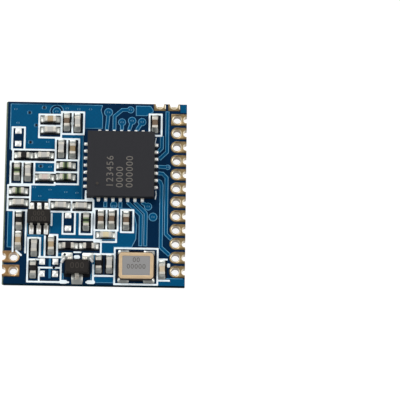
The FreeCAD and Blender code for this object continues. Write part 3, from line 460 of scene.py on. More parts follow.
def build_hole_rings():
    """Painted highlights on the lips beside the holes of an evenly spaced row, and painted shade on the
    brinks between the pads.

    Along and Across are places in millimetres, in line with the row and square to it.
    The painted highlights are strongest across the row from each hole, and brighter on the side away from the
    board's edge.
    """
    given = dict.fromkeys(("Along", "Across", "First", "Row", "Edge"), 0.0)
    group, source, sink = make_group("Hole Rings", given, ("Lip", "Brink"))
    from_first = maths(group, "SUBTRACT", source["Along"], source["First"])
    # Whole pitches and a half are added, so that the remainder is never taken of a negative number
    shifted = maths(group, "ADD", from_first, 100.5 * PAD_PITCH)
    beside = maths(group, "SUBTRACT", maths(group, "MODULO", shifted, PAD_PITCH), PAD_PITCH / 2)
    inner = maths(group, "SIGN", maths(group, "SUBTRACT", source["Row"], source["Edge"]))
    lip_highlights = []
    for centre, rim, far in (("Row", 0.355, 0.46), ("Edge", 0.28, 0.36)):
        out = maths(group, "SUBTRACT", source["Across"], source[centre])
        flat = add_node(group, "ShaderNodeCombineXYZ", X=beside, Y=out).outputs[0]
        away = add_node(group, "ShaderNodeVectorMath", {"operation": "LENGTH"}, Vector=flat).outputs["Value"]
        near, off_rim = ramp(group, away, far, far - 0.05), ramp(group, away, rim, rim + 0.03)
        band = maths(group, "MULTIPLY", near, off_rim)
        turned = maths(group, "DIVIDE", out, away)
        open_side = ramp(group, maths(group, "ABSOLUTE", turned), 0.2, 0.75)
        away_side = ramp(group, maths(group, "MULTIPLY", turned, inner), -0.3, 0.3, 0.6)
        lip_highlights.append(maths(group, "MULTIPLY", band, maths(group, "MULTIPLY", open_side, away_side)))
    group.links.new(maths(group, "MAXIMUM", *lip_highlights), sink["Lip"])
    # Painted shade towards the pads' long sides
    group.links.new(ramp(group, maths(group, "ABSOLUTE", beside), 0.36, 0.53), sink["Brink"])


def build_side_glints():
    """Where the glints are painted: 1 on slopes that face left or right, fading to 0 on level faces and the
    other slopes.
    """
    group, source, sink = make_group("Side Slopes", {"Start": 0.16}, ("Mask",))
    sideways = maths(group, "ABSOLUTE", axes_of(group, "Normal")["X"])
    slope = add_node(
        group, "ShaderNodeMapRange", {"From Max": 0.5}, Value=sideways, From_Min=source["Start"],
    )
    group.links.new(slope.outputs["Result"], sink["Mask"])


def use_group(tree, name, **values):
    node = tree.nodes.new("ShaderNodeGroup")
    node.node_tree = GROUPS[name]
    for key, value in values.items():
        slot = node.inputs[key.replace("_", " ")]
        if isinstance(value, bpy.types.NodeSocket):
            tree.links.new(value, slot)
        else:
            slot.default_value = value
    return node


def start_material(name, roughness, metallic=0.0, specular=0.5):
    """A material whose uniform values stand on the shader itself."""
    material = bpy.data.materials.new(name)
    material.use_nodes = True
    tree = material.node_tree
    shader = tree.nodes["Principled BSDF"]
    shader.inputs["Roughness"].default_value = roughness
    shader.inputs["Metallic"].default_value = metallic
    shader.inputs["Specular IOR Level"].default_value = specular
    MATERIALS[name] = material
    return tree, shader


def add_bump(tree, shader, height, depth):
    """Relief of the given depth in millimetres."""
    bump = add_node(tree, "ShaderNodeBump", {"Distance": depth * MM}, Height=height)
    tree.links.new(bump.outputs["Normal"], shader.inputs["Normal"])


def plain_finish(name, tint, roughness, metallic, specular, spread, grain, relief):
    """A finish whose tone and surface drift a little."""
    tree, shader = start_material(name, roughness, metallic, specular)
    mottle = use_group(tree, "Mottle", Colour=tint, Spread=spread, Grain_per_mm=grain)
    tree.links.new(mottle.outputs["Colour"], shader.inputs["Base Color"])
    add_bump(tree, shader, mottle.outputs["Height"], relief)
    return tree, shader, mottle


def mask_finish(name, tint):
    """Glossy mask with the glass cloth faint under it."""
    tree, shader = start_material(name, 0.3, specular=0.06)
    mottle = use_group(tree, "Mottle", Colour=tint, Spread=0.14, Grain_per_mm=1.3)
    weave = use_group(tree, "Glass Weave")
    woven = blend_colours(tree, 0.04, mottle.outputs["Colour"], weave.outputs["Mask"], "OVERLAY")
    tree.links.new(woven, shader.inputs["Base Color"])
    add_bump(tree, shader, mottle.outputs["Height"], 0.006)


def wall_finish(name, tint, snapped_tint):
    """The matt walls of the board in a dark colour that paints their shade, with bare fibre on the snapped
    edge.
    """
    tree, shader = start_material(name, 0.8, specular=0.0)
    snapped = use_group(tree, "Scored Edge")
    bare = blend_colours(tree, snapped.outputs["Mask"], tint, snapped_tint)
    fibre = use_group(tree, "Mottle", Colour=bare, Spread=0.3, Grain_per_mm=9.0)
    tree.links.new(fibre.outputs["Colour"], shader.inputs["Base Color"])
    add_bump(tree, shader, fibre.outputs["Height"], 0.006)


def pad_finish(name, tint, along_y, first, row, edge):
    """Gold with painted highlights on the lips beside the holes, and painted shade between the pads and on
    the walls of the holes.

    The row runs along Y or X. Its first hole, its own place and its board edge are in millimetres.
    """
    tree, shader, mottle = plain_finish(name, tint, 0.34, 0.55, 0.5, 0.22, 3.0, 0.004)
    axes = axes_of(tree, "Object")
    along, across = (maths(tree, "MULTIPLY", axes[axis], 1 / MM) for axis in ("YX" if along_y else "XY"))
    rings = use_group(tree, "Hole Rings", Along=along, Across=across, First=first, Row=row, Edge=edge)
    # Painted shade on the walls of the holes and along the pads' long sides
    level = use_group(tree, "Level Faces", Start=0.3)
    in_hole = maths(tree, "MULTIPLY", maths(tree, "SUBTRACT", 1.0, level.outputs["Mask"]), 0.35)
    painted_shade = maths(tree, "MAXIMUM", maths(tree, "MULTIPLY", rings.outputs["Brink"], 0.85), in_hole)
    shaded = blend_colours(tree, painted_shade, mottle.outputs["Colour"], colour("brink"))
    # Painted highlights on the lips
    lit = blend_colours(tree, rings.outputs["Lip"], shaded, colour("gold_lip"))
    tree.links.new(lit, shader.inputs["Base Color"])


def painted_glint_finish(name, tint, glint):
    """Mask with a painted glint: a lighter tint on slopes to the left and right."""
    tree, shader = start_material(name, 0.35, specular=0.2)
    mottle = use_group(tree, "Mottle", Colour=tint, Spread=0.1, Grain_per_mm=4.0)
    side_glint = use_group(tree, "Side Slopes")
    tinted = blend_colours(tree, side_glint.outputs["Mask"], mottle.outputs["Colour"], glint)
    tree.links.new(tinted, shader.inputs["Base Color"])


def build_materials():
    """Every finish of the module, by name."""
    build_mottle()
    build_weave()
    build_level_faces()
    build_scored_edge()
    build_hole_rings()
    build_side_glints()
    mask_finish("mask_over_laminate", colour("mask_bare"))
    mask_finish("mask_over_copper", colour("mask_copper"))
    wall_finish("board_wall", colour("wall"), colour("laminate"))
    painted_glint_finish("via_ring", colour("mask_copper"), colour("glint"))
    right, top = BOARD_WIDTH / 2, BOARD_LENGTH / 2
    first, row = mm("header_start") - top, right - mm("header_inset")
    pad_finish("gold", colour("gold"), True, first, row, right)
    first, row = mm("aerial_start") - top, mm("aerial_inset") - right
    pad_finish("warm_gold", colour("warm_gold"), True, first, row, -right - mm("snapped"))
    # The upper edge has half holes alone, so the row's own place is set just inside that edge
    pad_finish("top_gold", colour("gold"), False, right - mm("top_inset"), top - 0.04, top)
    for name, (tint, *values) in PLAIN_FINISHES.items():
        plain_finish(name, colour(tint), *values)
    for tint in CERAMIC_TINTS:
        plain_finish(f"{tint}_ceramic", colour(tint), *CERAMIC_FINISH)


# Modelling helpers


def start_clean():
    """Leaves edit mode with nothing selected."""
    if bpy.context.mode != "OBJECT":
        bpy.ops.object.mode_set(mode="OBJECT")
    bpy.ops.object.select_all(action="DESELECT")


def take(piece):
    start_clean()
    piece.select_set(True)
    bpy.context.view_layer.objects.active = piece


def edit(piece, kind="FACE"):
    """Edit mode on one piece, with nothing selected."""
    take(piece)
    bpy.ops.object.mode_set(mode="EDIT")
    bpy.ops.mesh.select_mode(type=kind)
    bpy.ops.mesh.select_all(action="DESELECT")


def select_whole():
    """Selects all of the piece in edit mode."""
    bpy.ops.mesh.select_all(action="SELECT")


def stretch(x, y, z):
    """Scales all of the piece in edit mode about the origin."""
    select_whole()
    bpy.ops.transform.resize(value=(x, y, z), center_override=(0, 0, 0))


def shift(x, y, z):
    """Moves all of the piece in edit mode."""
    select_whole()
    bpy.ops.transform.translate(value=(x, y, z))


def face_outwards():
    """Turns all faces of the piece in edit mode outwards."""
    select_whole()
    bpy.ops.mesh.normals_make_consistent(inside=False)


def pick(piece, kind, test):
    """Selects what passes the test, and nothing else. Kind is verts, edges or faces."""
    bpy.ops.mesh.select_mode(type={"verts": "VERT", "edges": "EDGE", "faces": "FACE"}[kind])
    bpy.ops.mesh.select_all(action="DESELECT")
    mesh = bmesh.from_edit_mesh(piece.data)
    found = 0
    for item in getattr(mesh, kind):
        if test(item):
            item.select_set(True)
            found += 1
    bmesh.update_edit_mesh(piece.data)
    return found


def move_picked(piece, rule):
    """Moves each selected vertex to where the rule puts it."""
    mesh = bmesh.from_edit_mesh(piece.data)
    for vertex in mesh.verts:
        if vertex.select:
            vertex.co = Vector(rule(vertex.co.copy()))
    bmesh.update_edit_mesh(piece.data)


def flare(piece, width):
    """Moves the selected foot of upright walls outwards, square to the walls that meet there."""
    mesh = bmesh.from_edit_mesh(piece.data)
    feet = []
    for vertex in mesh.verts:
        walls = [face.normal.copy() for face in vertex.link_faces if abs(face.normal.z) < 0.98]
        if vertex.select and walls:
            for wall in walls:
                wall.z = 0
                wall.normalize()
            first = walls[0]
            other = min(walls, key=first.dot)
            outward = (first + other) / max(1 + first.dot(other), 0.4) * width
            feet.append((vertex, vertex.co + outward))
    for vertex, place in feet:
        vertex.co = place
    mesh.normal_update()
    bmesh.update_edit_mesh(piece.data)


def paint_picked(piece, index):
    mesh = bmesh.from_edit_mesh(piece.data)
    for face in mesh.faces:
        if face.select:
            face.material_index = index
    bmesh.update_edit_mesh(piece.data)


def middle(item):
    """The middle of an edge or face."""
    if hasattr(item, "calc_center_median"):
        return item.calc_center_median()
    return (item.verts[0].co + item.verts[1].co) / 2


def apply_modifier(piece, kind, **values):
    take(piece)
    modifier = piece.modifiers.new(kind.title(), kind)
    for key, value in values.items():
        setattr(modifier, key, value)
    bpy.ops.object.modifier_apply(modifier=modifier.name)


def smooth(piece, degrees=40):
    take(piece)
    bpy.ops.object.shade_smooth_by_angle(angle=math.radians(degrees))


def round_edges(piece, width, degrees=30):
    """Rounds a piece's edges that are sharper than an angle."""
    limit = math.radians(degrees)
    apply_modifier(piece, "BEVEL", width=width, segments=2, limit_method="ANGLE", angle_limit=limit)
    smooth(piece)


def start_piece(name, add, **values):
    """A new primitive under its piece's name."""
    start_clean()
    add(**values)
    piece = bpy.context.object
    piece.name = name
    piece.data.name = name
    return piece


def copy_node(node, name, whole=True):
    """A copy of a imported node's mesh in millimetres, merged, and with its flat faces made whole again."""
    start_clean()
    piece = bpy.data.objects.new(name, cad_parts[node].data.copy())
    bpy.context.scene.collection.objects.link(piece)
    piece.data.materials.clear()
    piece.data.transform(Matrix.Scale(1 / MM, 4))
    edit(piece, "VERT")
    select_whole()
    bpy.ops.mesh.remove_doubles(threshold=0.0005)
    if whole:
        bpy.ops.mesh.dissolve_limited(angle_limit=math.radians(1.5))
    start_clean()
    return piece


def place_copy(source, name, place, angle):
    """A copy of a modelled shape with its own mesh, at a place and turned about Z."""
    piece = bpy.data.objects.new(name, source.data.copy())
    bpy.context.scene.collection.objects.link(piece)
    piece.data.transform(Matrix.Translation(place) @ Matrix.Rotation(math.radians(angle), 4, "Z"))
    return piece


def join_all(pieces, name):
    """One piece from several."""
    start_clean()
    for piece in pieces:
        piece.select_set(True)
    bpy.context.view_layer.objects.active = pieces[0]
    if len(pieces) > 1:
        bpy.ops.object.join()
    joined = bpy.context.object
    joined.name = name
    joined.data.name = name
    return joined


def discard(*pieces):
    for piece in pieces:
        bpy.data.objects.remove(piece)


def settle(piece, slot, nodes, *materials):
    """Brings a finished piece to metres and gives it its finishes, its body and the nodes it stands for."""
    take(piece)
    piece.scale = (MM, MM, MM)
    bpy.ops.object.transform_apply(location=True, rotation=True, scale=True)
    for name in materials:
        piece.data.materials.append(MATERIALS[name])
    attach(piece, "root")
    if nodes:
        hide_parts(*nodes)
    return piece


def node_middle(node):
    """The middle of a node's box in plan, in millimetres."""
    low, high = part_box(node)
    return (low + high) / 2 / MM


def node_turn(node):
    """0 where a node's box is longer along X, and 90 where it is longer along Y."""
    low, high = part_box(node)
    size = high - low
    return 0 if size.x > size.y else 90


# Chip components


def chip_shape(tall, step, band):
    """A ceramic block along X, standing on z = 0, whose end caps stand proud of it by a step.

    The band is half the width of the stripe about its middle, or 0 for none.
    """
    border = mm("chip_length") / 2 - mm("cap_length")
    chip = start_piece("chip_pattern", bpy.ops.mesh.primitive_cube_add, size=1)
    edit(chip)
    stretch(mm("chip_length"), mm("chip_width"), tall)
    shift(0, 0, tall / 2)
    bpy.ops.mesh.bevel(offset=mm("chip_round"), segments=3, affect="EDGES")
    paint_middle(chip, border, 1, step)
    if band:
        paint_middle(chip, band, 2)
    smooth(chip, 50)
    apply_modifier(chip, "WEIGHTED_NORMAL", keep_sharp=True, weight=100)
    return chip


def paint_middle(chip, half, index, step=0.0):
    """Cuts a chip at that distance either side of its middle, and paints and sinks what is between."""
    for side in (-1, 1):
        select_whole()
        bpy.ops.mesh.bisect(plane_co=(side * half, 0, 0), plane_no=(1, 0, 0), threshold=0.0001)
    pick(chip, "faces", lambda face: abs(middle(face).x) < half - 0.001)
    if step:
        bpy.ops.mesh.extrude_region_shrink_fatten(TRANSFORM_OT_shrink_fatten={"value": -step})
    paint_picked(chip, index)


def make_chips(kinds, tall, step, band=0.0, band_finish=()):
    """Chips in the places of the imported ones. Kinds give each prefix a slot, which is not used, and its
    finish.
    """
    chip = chip_shape(tall, step, band)
    dice = random.Random(TILT_SEED)
    for prefix, (slot, finish) in kinds.items():
        for node in sorted(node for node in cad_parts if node.startswith(prefix)):
            tilt = dice.uniform(-CHIP_TILT, CHIP_TILT)
            place = node_middle(node)
            place.z = LAMINATE_TOP
            piece = place_copy(chip, f"{node}_body", place, node_turn(node) + tilt)
            settle(piece, slot, [node], "tin", ODD_TINTS.get(node, finish), *band_finish)
    discard(chip)


class RADIO_MODULE_OT_capacitors(bpy.types.Operator):
    """Model the chip capacitors with their tinned end caps"""

    bl_idname = "radio_module.capacitors"
    bl_label = "Capacitors"

    def execute(self, context):
        kinds = {f"{tint}_capacitor": (f"{tint}_ceramic", f"{tint}_ceramic") for tint in CAPACITOR_TINTS}
        make_chips(kinds, mm("chip_tall"), mm("cap_step"))
        return {"FINISHED"}


class RADIO_MODULE_OT_inductors(bpy.types.Operator):
    """Model the greenish chip inductors"""

    bl_idname = "radio_module.inductors"
    bl_label = "Inductors"

    def execute(self, context):
        kinds = {"inductor": ("green_ceramic", "green_ceramic")}
        make_chips(kinds, mm("chip_tall"), mm("cap_step"), mm("band_half"), ["green_band"])
        return {"FINISHED"}


class RADIO_MODULE_OT_resistors(bpy.types.Operator):
    """Model the chip resistors with their black glaze and tinned ends"""

    bl_idname = "radio_module.resistors"
    bl_label = "Resistors"

    def execute(self, context):
        make_chips({"resistor": ("resistor_glaze", "black_glaze")}, mm("resistor_tall"), GLAZE_STEP)
        return {"FINISHED"}


# Solder


def pillow(name, length, width, rise, toe, along, across=ROUND_ACROSS):
    """A domed or hollow skin over a land, from x = 0 to its length, with its skirt down to the laminate.

    Along gives the height's share at even steps of the length and across at even steps
    of the width. The far end is drawn in to the toe's share of the width.
    """
    columns, rows = len(along) - 1, len(across) - 1
    skin = start_piece(
        name, bpy.ops.mesh.primitive_grid_add, x_subdivisions=columns, y_subdivisions=rows, size=2,
    )
    edit(skin, "VERT")
    shift(1, 0, 0)
    stretch(length / 2, width / 2, 1)

    def drawn(share):
        return 1 - (1 - toe) * share ** 4

    for column, share in enumerate(along):
        x = length * column / columns
        pick(skin, "verts", lambda vertex: abs(vertex.co.x - x) < length / columns / 4)
        bpy.ops.transform.translate(value=(0, 0, rise * share))
        bpy.ops.transform.resize(value=(1, drawn(column / columns), 1), center_override=(0, 0, 0))
    sides = [-1 + 2 * row / rows for row in range(rows + 1)]

    def crown(place):
        side = place.y / (width / 2 * drawn(place.x / length))
        row = min(range(rows + 1), key=lambda index: abs(sides[index] - side))
        return place.x, place.y, place.z * across[row]

    select_whole()
    move_picked(skin, crown)
    pick(skin, "edges", lambda edge: edge.is_boundary)
    bpy.ops.mesh.extrude_edges_move()
    move_picked(skin, lambda place: (place.x, place.y, -SKIRT))
    bpy.ops.mesh.edge_face_add()
    face_outwards()
    start_clean()
    smooth(skin, 55)
    return skin


def row_of(count, pitch):
    """Offsets of an evenly spaced row about its middle."""
    return [(index - (count - 1) / 2) * pitch for index in range(count)]


def spread_along(pattern, centre, start, sides, offsets):
    """Copies of a joint along the sides of a package, each starting at that distance from its centre."""
    copies = []
    for side in sides:
        turn = Matrix.Rotation(math.radians(side), 3, "Z")
        for offset in offsets:
            place = Vector((centre.x, centre.y, LAND_TOP)) + turn @ Vector((start, offset, 0))
            copies.append(place_copy(pattern, "joint", place, side))
    return copies


class RADIO_MODULE_OT_solder(bpy.types.Operator):
    """Model the solder joints of every component and the tinned empty lands"""

    bl_idname = "radio_module.solder"
    bl_label = "Solder joints"

    def execute(self, context):
        hollow = pillow(
            "hollow_joint", mm("joint_toe") + JOINT_SUNK, mm("joint_width"), mm("joint_rise") - SKIRT,
            HOLLOW_TOE, HOLLOW_ALONG, FLAT_ACROSS,
        )
        skins = {name: pillow(name, *values) for name, (start, *values) in SKINS.items()}

        def lay(name, centre, sides, offsets=(0,)):
            return spread_along(skins[name], centre, SKINS[name][0], sides, offsets)

        joints, bright = [], []
        for node in filter(is_chip, sorted(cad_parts)):
            turn = node_turn(node)
            start = mm("chip_length") / 2 - JOINT_SUNK
            joints += spread_along(hollow, node_middle(node), start, (turn, turn + 180), (0,))
        for x, y, angle in EMPTY_FOOTPRINTS:
            bright += lay("tinned_dome", on_board(x, y), (angle, angle + 180))
        radio = node_middle("radio_chip_body")
        bright += lay("radio_bead", radio, (0, 90, 180, 270), row_of(7, RADIO_LEAD_PITCH))
        switch = node_middle("switch_body")
        bright += lay("short_foot_joint", switch, (90,), row_of(3, SMALL_LEAD_PITCH))
        bright += lay("foot_joint", switch, (270,), row_of(3, SMALL_LEAD_PITCH))
        transistor = node_middle("transistor_body")
        joints += lay("wide_joint", transistor, (90,), row_of(2, TRANSISTOR_LAND_PITCH))
        joints += lay("low_joint", transistor, (270,))
        for x, y, angle in LAND_TONGUES:
            bright += lay("joint_tongue", on_board(x, y), (angle,))
        offsets = (-CRYSTAL_LAND_SHIFT, CRYSTAL_LAND_SHIFT)
        joints += lay("crystal_joint", node_middle("crystal_base"), (90, 270), offsets)
        discard(hollow, *skins.values())
        settle(join_all(joints, "solder_fillets"), "solder", ["solder_joints"], "solder")
        # The bright joints take a lighter copy of the solder finish, a painted highlight
        settle(join_all(bright, "bright_joints"), "solder", [], "bead_solder")
        return {"FINISHED"}


# Board, copper and print


def stroke(x_start, y_start, x_end, y_end, width, low, high, corner=0.48):
    """A bar over a line in plan, between two heights, with its corners rounded by a share of the width."""
    run = Vector((x_end - x_start, y_end - y_start, 0))
    bar = start_piece("bar", bpy.ops.mesh.primitive_cube_add, size=1)
    edit(bar)
    stretch(run.length + width, width, high - low)
    pick(bar, "edges", lambda edge: abs(edge.verts[0].co.z - edge.verts[1].co.z) > (high - low) / 2)
    bpy.ops.mesh.bevel(offset=width * corner, segments=5, affect="EDGES")
    start_clean()
    place = on_board((x_start + x_end) / 2, (y_start + y_end) / 2, (low + high) / 2)
    piece = place_copy(bar, "stroke", place, math.degrees(math.atan2(run.y, run.x)))
    discard(bar)
    return piece


def lay_strokes(name, slot, finish, strokes, low, high, corner=0.48):
    """One piece from several strokes."""
    bars = [stroke(*line, low, high, corner) for line in strokes]
    return settle(join_all(bars, name), slot, [], finish)


def cut_clearing(sheet, x_low, y_low, x_high, y_high):
    """Takes a rectangle in plan out of the copper or the print."""
    start = on_board(x_low, y_low, LAMINATE_TOP)
    end = on_board(x_high, y_high, COPPER_TOP)
    block = start_piece("clearing", bpy.ops.mesh.primitive_cube_add, size=1, location=(start + end) / 2)
    block.scale = (end.x - start.x, end.y - start.y, 0.5)
    apply_modifier(sheet, "BOOLEAN", operation="DIFFERENCE", solver="EXACT", object=block)
    discard(block)


def is_chip(node):
    return node.startswith(("tan_", "brown_", "pale_", "inductor", "resistor"))


class RADIO_MODULE_OT_board(bpy.types.Operator):
    """Finish the laminate, and the copper that shows as relief under the mask"""

    bl_idname = "radio_module.board"
    bl_label = "Board and copper"

    def execute(self, context):
        board = copy_node("circuit_board", "laminate", whole=False)
        edit(board)
        select_whole()
        edge = 0.17 - BOARD_WIDTH / 2
        bites = [on_board(0, mm("aerial_start") + index * PAD_PITCH) for index in range(2)]
        bite = mm("notch_radius") + mm("plating") + 0.01

        def snap(place):
            flat = Vector((place.x, place.y, 0))
            moves = place.x < edge or any((flat - centre).length < bite for centre in bites)
            return place - Vector((mm("snapped") if moves else 0, 0, 0))

        move_picked(board, snap)
        pick(board, "faces", lambda face: abs(face.normal.z) < 0.8)
        paint_picked(board, 1)
        start_clean()
        settle(board, "mask_on_laminate", ["circuit_board"], "mask_over_laminate", "board_wall")

        copper = copy_node("masked_copper", "copper_relief", whole=False)
        for clearing in CLEARINGS:
            cut_clearing(copper, *clearing)
        edit(copper)
        select_whole()
        bpy.ops.mesh.quads_convert_to_tris(quad_method="BEAUTY", ngon_method="BEAUTY")
        middle_height = (LAMINATE_TOP + COPPER_TOP) / 2
        pick(copper, "verts", lambda vertex: vertex.co.z < middle_height)
        flare(copper, mm("copper_slope") / 2)
        pick(copper, "verts", lambda vertex: vertex.co.z > middle_height)
        flare(copper, -mm("copper_slope") / 2)
        # The copper's slopes take the thinner mask's tint with its painted highlight
        pick(copper, "faces", lambda face: abs(face.normal.z) < 0.98)
        paint_picked(copper, 1)
        start_clean()
        settle(copper, "mask_on_copper", ["masked_copper"], "mask_over_copper", "mask_slope")

        slot = "mask_on_copper"
        lay_strokes("pale_track", slot, "pale_mask", [PALE_TRACK], LAMINATE_TOP, COPPER_TOP, 0.1)
        lay_strokes("edge_pours", slot, "mask_over_copper", EDGE_POURS, LAMINATE_TOP, POUR_TOP, 0.04)
        # Dark sheets in the mask openings, which also paint the shadows round the components
        gaps = list(DARK_GAPS_AND_SHADOWS)
        for node in filter(is_chip, sorted(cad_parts)):
            centre = node_middle(node)
            turn = math.radians(node_turn(node))
            reach = Vector((math.cos(turn), math.sin(turn))) * CHIP_SHADOW_REACH
            x, y = centre.x + BOARD_WIDTH / 2, centre.y + BOARD_LENGTH / 2
            gaps.append((x - reach.x, y - reach.y, x + reach.x, y + reach.y, CHIP_SHADOW_WIDTH))
        lay_strokes("mask_openings", "mask_on_laminate", "mask_opening", gaps, LAMINATE_TOP, OPENING_TOP, 0.1)
        return {"FINISHED"}


class RADIO_MODULE_OT_print(bpy.types.Operator):
    """Model the printed legend with rounded corners"""

    bl_idname = "radio_module.print"
    bl_label = "Legend print"

    def execute(self, context):
        legend = copy_node("legend_ink", "legend_print")
        cut_clearing(legend, *PRINT_GAP)
        edit(legend)
        pick(legend, "faces", lambda face: abs(face.normal.z) > 0.9)
        bpy.ops.mesh.quads_convert_to_tris(quad_method="BEAUTY", ngon_method="BEAUTY")
        pick(legend, "edges", lambda edge: abs(edge.verts[0].co.z - edge.verts[1].co.z) > 0.015)
        bpy.ops.mesh.bevel(offset=mm("ink_round"), segments=3, affect="EDGES")
        start_clean()
        settle(legend, "white_ink", ["legend_ink"], "print")
        lay_strokes("print_touches", "white_ink", "print", PRINT_TOUCHES, LAMINATE_TOP, TOUCH_TOP)
        return {"FINISHED"}


def dark_disc(name, sides, radius, tall, border, sink):
    """A low disc about the origin whose top is inset and sunk."""
    disc = start_piece(name, bpy.ops.mesh.primitive_cylinder_add, vertices=sides, radius=radius, depth=tall)
    edit(disc)
    pick(disc, "faces", lambda face: face.normal.z > 0.9)
    bpy.ops.mesh.inset(thickness=border, depth=-sink)
    start_clean()
    return disc


class RADIO_MODULE_OT_vias(bpy.types.Operator):
    """Model the open and the masked vias, with painted shade in the holes and painted glints on the rings"""

    bl_idname = "radio_module.vias"
    bl_label = "Vias"

    def execute(self, context):
        outer = mm("via_radius")
        ring = start_piece(
            "via_ring", bpy.ops.mesh.primitive_torus_add,
            major_radius=outer * 0.76, minor_radius=outer * 0.24, major_segments=24, minor_segments=8,
        )
        edit(ring)
        stretch(1, 1, 0.35)
        start_clean()
        smooth(ring, 60)
        small = place_copy(ring, "small_ring", Vector((0, 0, 0)), 0)
        edit(small)
        stretch(0.66, 0.5, 0.9)
        start_clean()
        rings = [place_copy(ring, "ring", on_board(x, y, COPPER_TOP), 0) for x, y in OPEN_VIAS]
        rings += [place_copy(small, "ring", on_board(x, y, COPPER_TOP), 0) for x, y in TENTED_VIAS]
        # Dark discs paint the shade inside the open vias and the holes' mouths
        well = dark_disc("via_well", 24, outer * 0.66, 0.012, outer * 0.1, 0.004)
        mouth = dark_disc("mouth", 20, 0.12, 0.03, 0.03, 0.01)
        wells = [place_copy(well, "well", on_board(x, y, WELL_LEVEL), 0) for x, y in OPEN_VIAS]
        wells += [place_copy(mouth, "well", on_board(*place), 0) for place in SHADED_MOUTHS]
        discard(ring, small, well, mouth)
        # The rings carry painted glints on their left and right slopes.
        settle(join_all(rings, "via_rings"), "mask_on_copper", [], "via_ring")
        settle(join_all(wells, "via_wells"), "mask_on_laminate", [], "via_dark")
        return {"FINISHED"}


# Plated pads


def lay_loops(name, loops):
    """A sheet from a circle that is drawn out from loop to loop. All loops have as many points."""
    sheet = start_piece(name, bpy.ops.mesh.primitive_circle_add, vertices=len(loops[0]), radius=1)
    edit(sheet, "VERT")
    mesh = bmesh.from_edit_mesh(sheet.data)
    ordered = sorted(mesh.verts, key=lambda vertex: math.atan2(vertex.co.y, vertex.co.x) % (2 * math.pi))
    for vertex, place in zip(ordered, loops[0]):
        vertex.co = Vector((*place, 0))
    bmesh.update_edit_mesh(sheet.data)
    select_whole()
    for before, after in zip(loops, loops[1:]):
        bpy.ops.mesh.extrude_edges_move()
        draw_out(sheet, before, after)
    return sheet


def draw_out(sheet, before, after):
    """Moves the selected vertices from one loop to their places on the next."""
    def follow(place):
        gaps = [(place.x - x) ** 2 + (place.y - y) ** 2 for x, y in before]
        return (*after[gaps.index(min(gaps))], place.z)

    move_picked(sheet, follow)


def circle_points(radius, turns, centre=0.0):
    """Points in plan at the given angles about a centre on the X axis."""
    return [(centre + radius * math.cos(turn), radius * math.sin(turn)) for turn in turns]


def pick_rim(pad, reach, radius):
    """Selects the open edges of a sheet that lie on a circle about x = reach."""
    def on_rim(vertex):
        return abs(math.hypot(vertex.co.x - reach, vertex.co.y) - radius) < 0.002

    pick(pad, "edges", lambda edge: edge.is_boundary and all(on_rim(vertex) for vertex in edge.verts))


def pad_outline(style, reach, half, notch, steps):
    """Outer loop of a land about its hole: from the board's edge round the hole's far side and back."""
    def point(index):
        side = 1 if index >= 0 else -1
        index = abs(index)
        if index <= steps - 3:
            angle = math.pi / 2 * index / (steps - 3)
            return reach - notch * math.cos(angle), side * notch * math.sin(angle)
        if index == steps - 2:
            return reach, side * half
        if index == steps - 1:
            return reach / 2, side * half
        angle = math.pi / 2 * index / steps
        if style == "round":
            return half * math.cos(angle), side * half * math.sin(angle)
        share = (index - steps) / steps
        if share <= 0.5:
            return -2 * share * half, side * half
        return -half, side * half * (2 - 2 * share)

    return [point(index if index <= 2 * steps else index - 4 * steps) for index in range(4 * steps)]


def pad_shape(style, reach):
    """A plated pad with a full hole at the origin and a half hole at x = reach."""
    hole, plating, half, notch = mm("hole_radius"), mm("plating"), mm("pad_half"), mm("notch_radius")
    turns = [2 * math.pi * index / (4 * PAD_STEPS) for index in range(4 * PAD_STEPS)]
    radii = (hole, hole + plating, hole + plating + mm("lip_width"))
    outline = pad_outline(style, reach, half, notch + plating, PAD_STEPS)
    pad = lay_loops("pad_pattern", [*(circle_points(radius, turns) for radius in radii), outline])
    pick_rim(pad, reach, notch + plating)
    bpy.ops.mesh.extrude_edges_move()
    inward = notch / (notch + plating)
    move_picked(pad, lambda place: (reach + (place.x - reach) * inward, place.y * inward, place.z))

    def on_barrel(place):
        in_hole = math.hypot(place.x, place.y) < hole + plating * 0.9
        return in_hole or math.hypot(place.x - reach, place.y) < notch + plating * 0.9

    pad = finish_pad(pad, on_barrel)
    edit(pad)
    top = LAND_TOP / 2 - 0.001
    for radius, sink in ((hole + plating / 2, 0.04), (hole + plating * 1.5, 0.016)):
        pick(pad, "verts", lambda vertex: abs(vertex.co.z) > top and vertex.co.xy.length < radius)
        move_picked(pad, lambda place: (place.x, place.y, place.z - math.copysign(sink, place.z)))
    start_clean()
    return pad


def top_pad_shape(reach):
    """A plated pad with only a half hole at x = reach."""
    plating, half, notch = mm("plating"), mm("pad_half"), mm("top_notch_radius")
    side = PAD_STEPS // 2
    turns = [math.pi / 2 + math.pi * index / (4 * side) for index in range(4 * side + 1)]
    rim, inner = (circle_points(radius, turns, reach) for radius in (notch + plating, notch))

    def border(index):
        if index <= side:
            return reach * (1 - index / side), half
        if index >= 3 * side:
            return reach * (index - 3 * side) / side, -half
        return 0, half * (1 - (index - side) / side)

    pad = start_piece(
        "top_pad_pattern", bpy.ops.mesh.primitive_grid_add, x_subdivisions=1, y_subdivisions=4 * side, size=2,
    )
    edit(pad, "VERT")
    select_whole()

    def lay_out(place):
        index = round((1 - place.y) / 2 * 4 * side)
        return (*(rim[index] if place.x > 0 else border(index)), 0)

    move_picked(pad, lay_out)
    pick_rim(pad, reach, notch + plating)
    bpy.ops.mesh.extrude_edges_move()
    draw_out(pad, rim, inner)
    return finish_pad(pad, lambda place: math.hypot(place.x - reach, place.y) < notch + plating * 0.9)


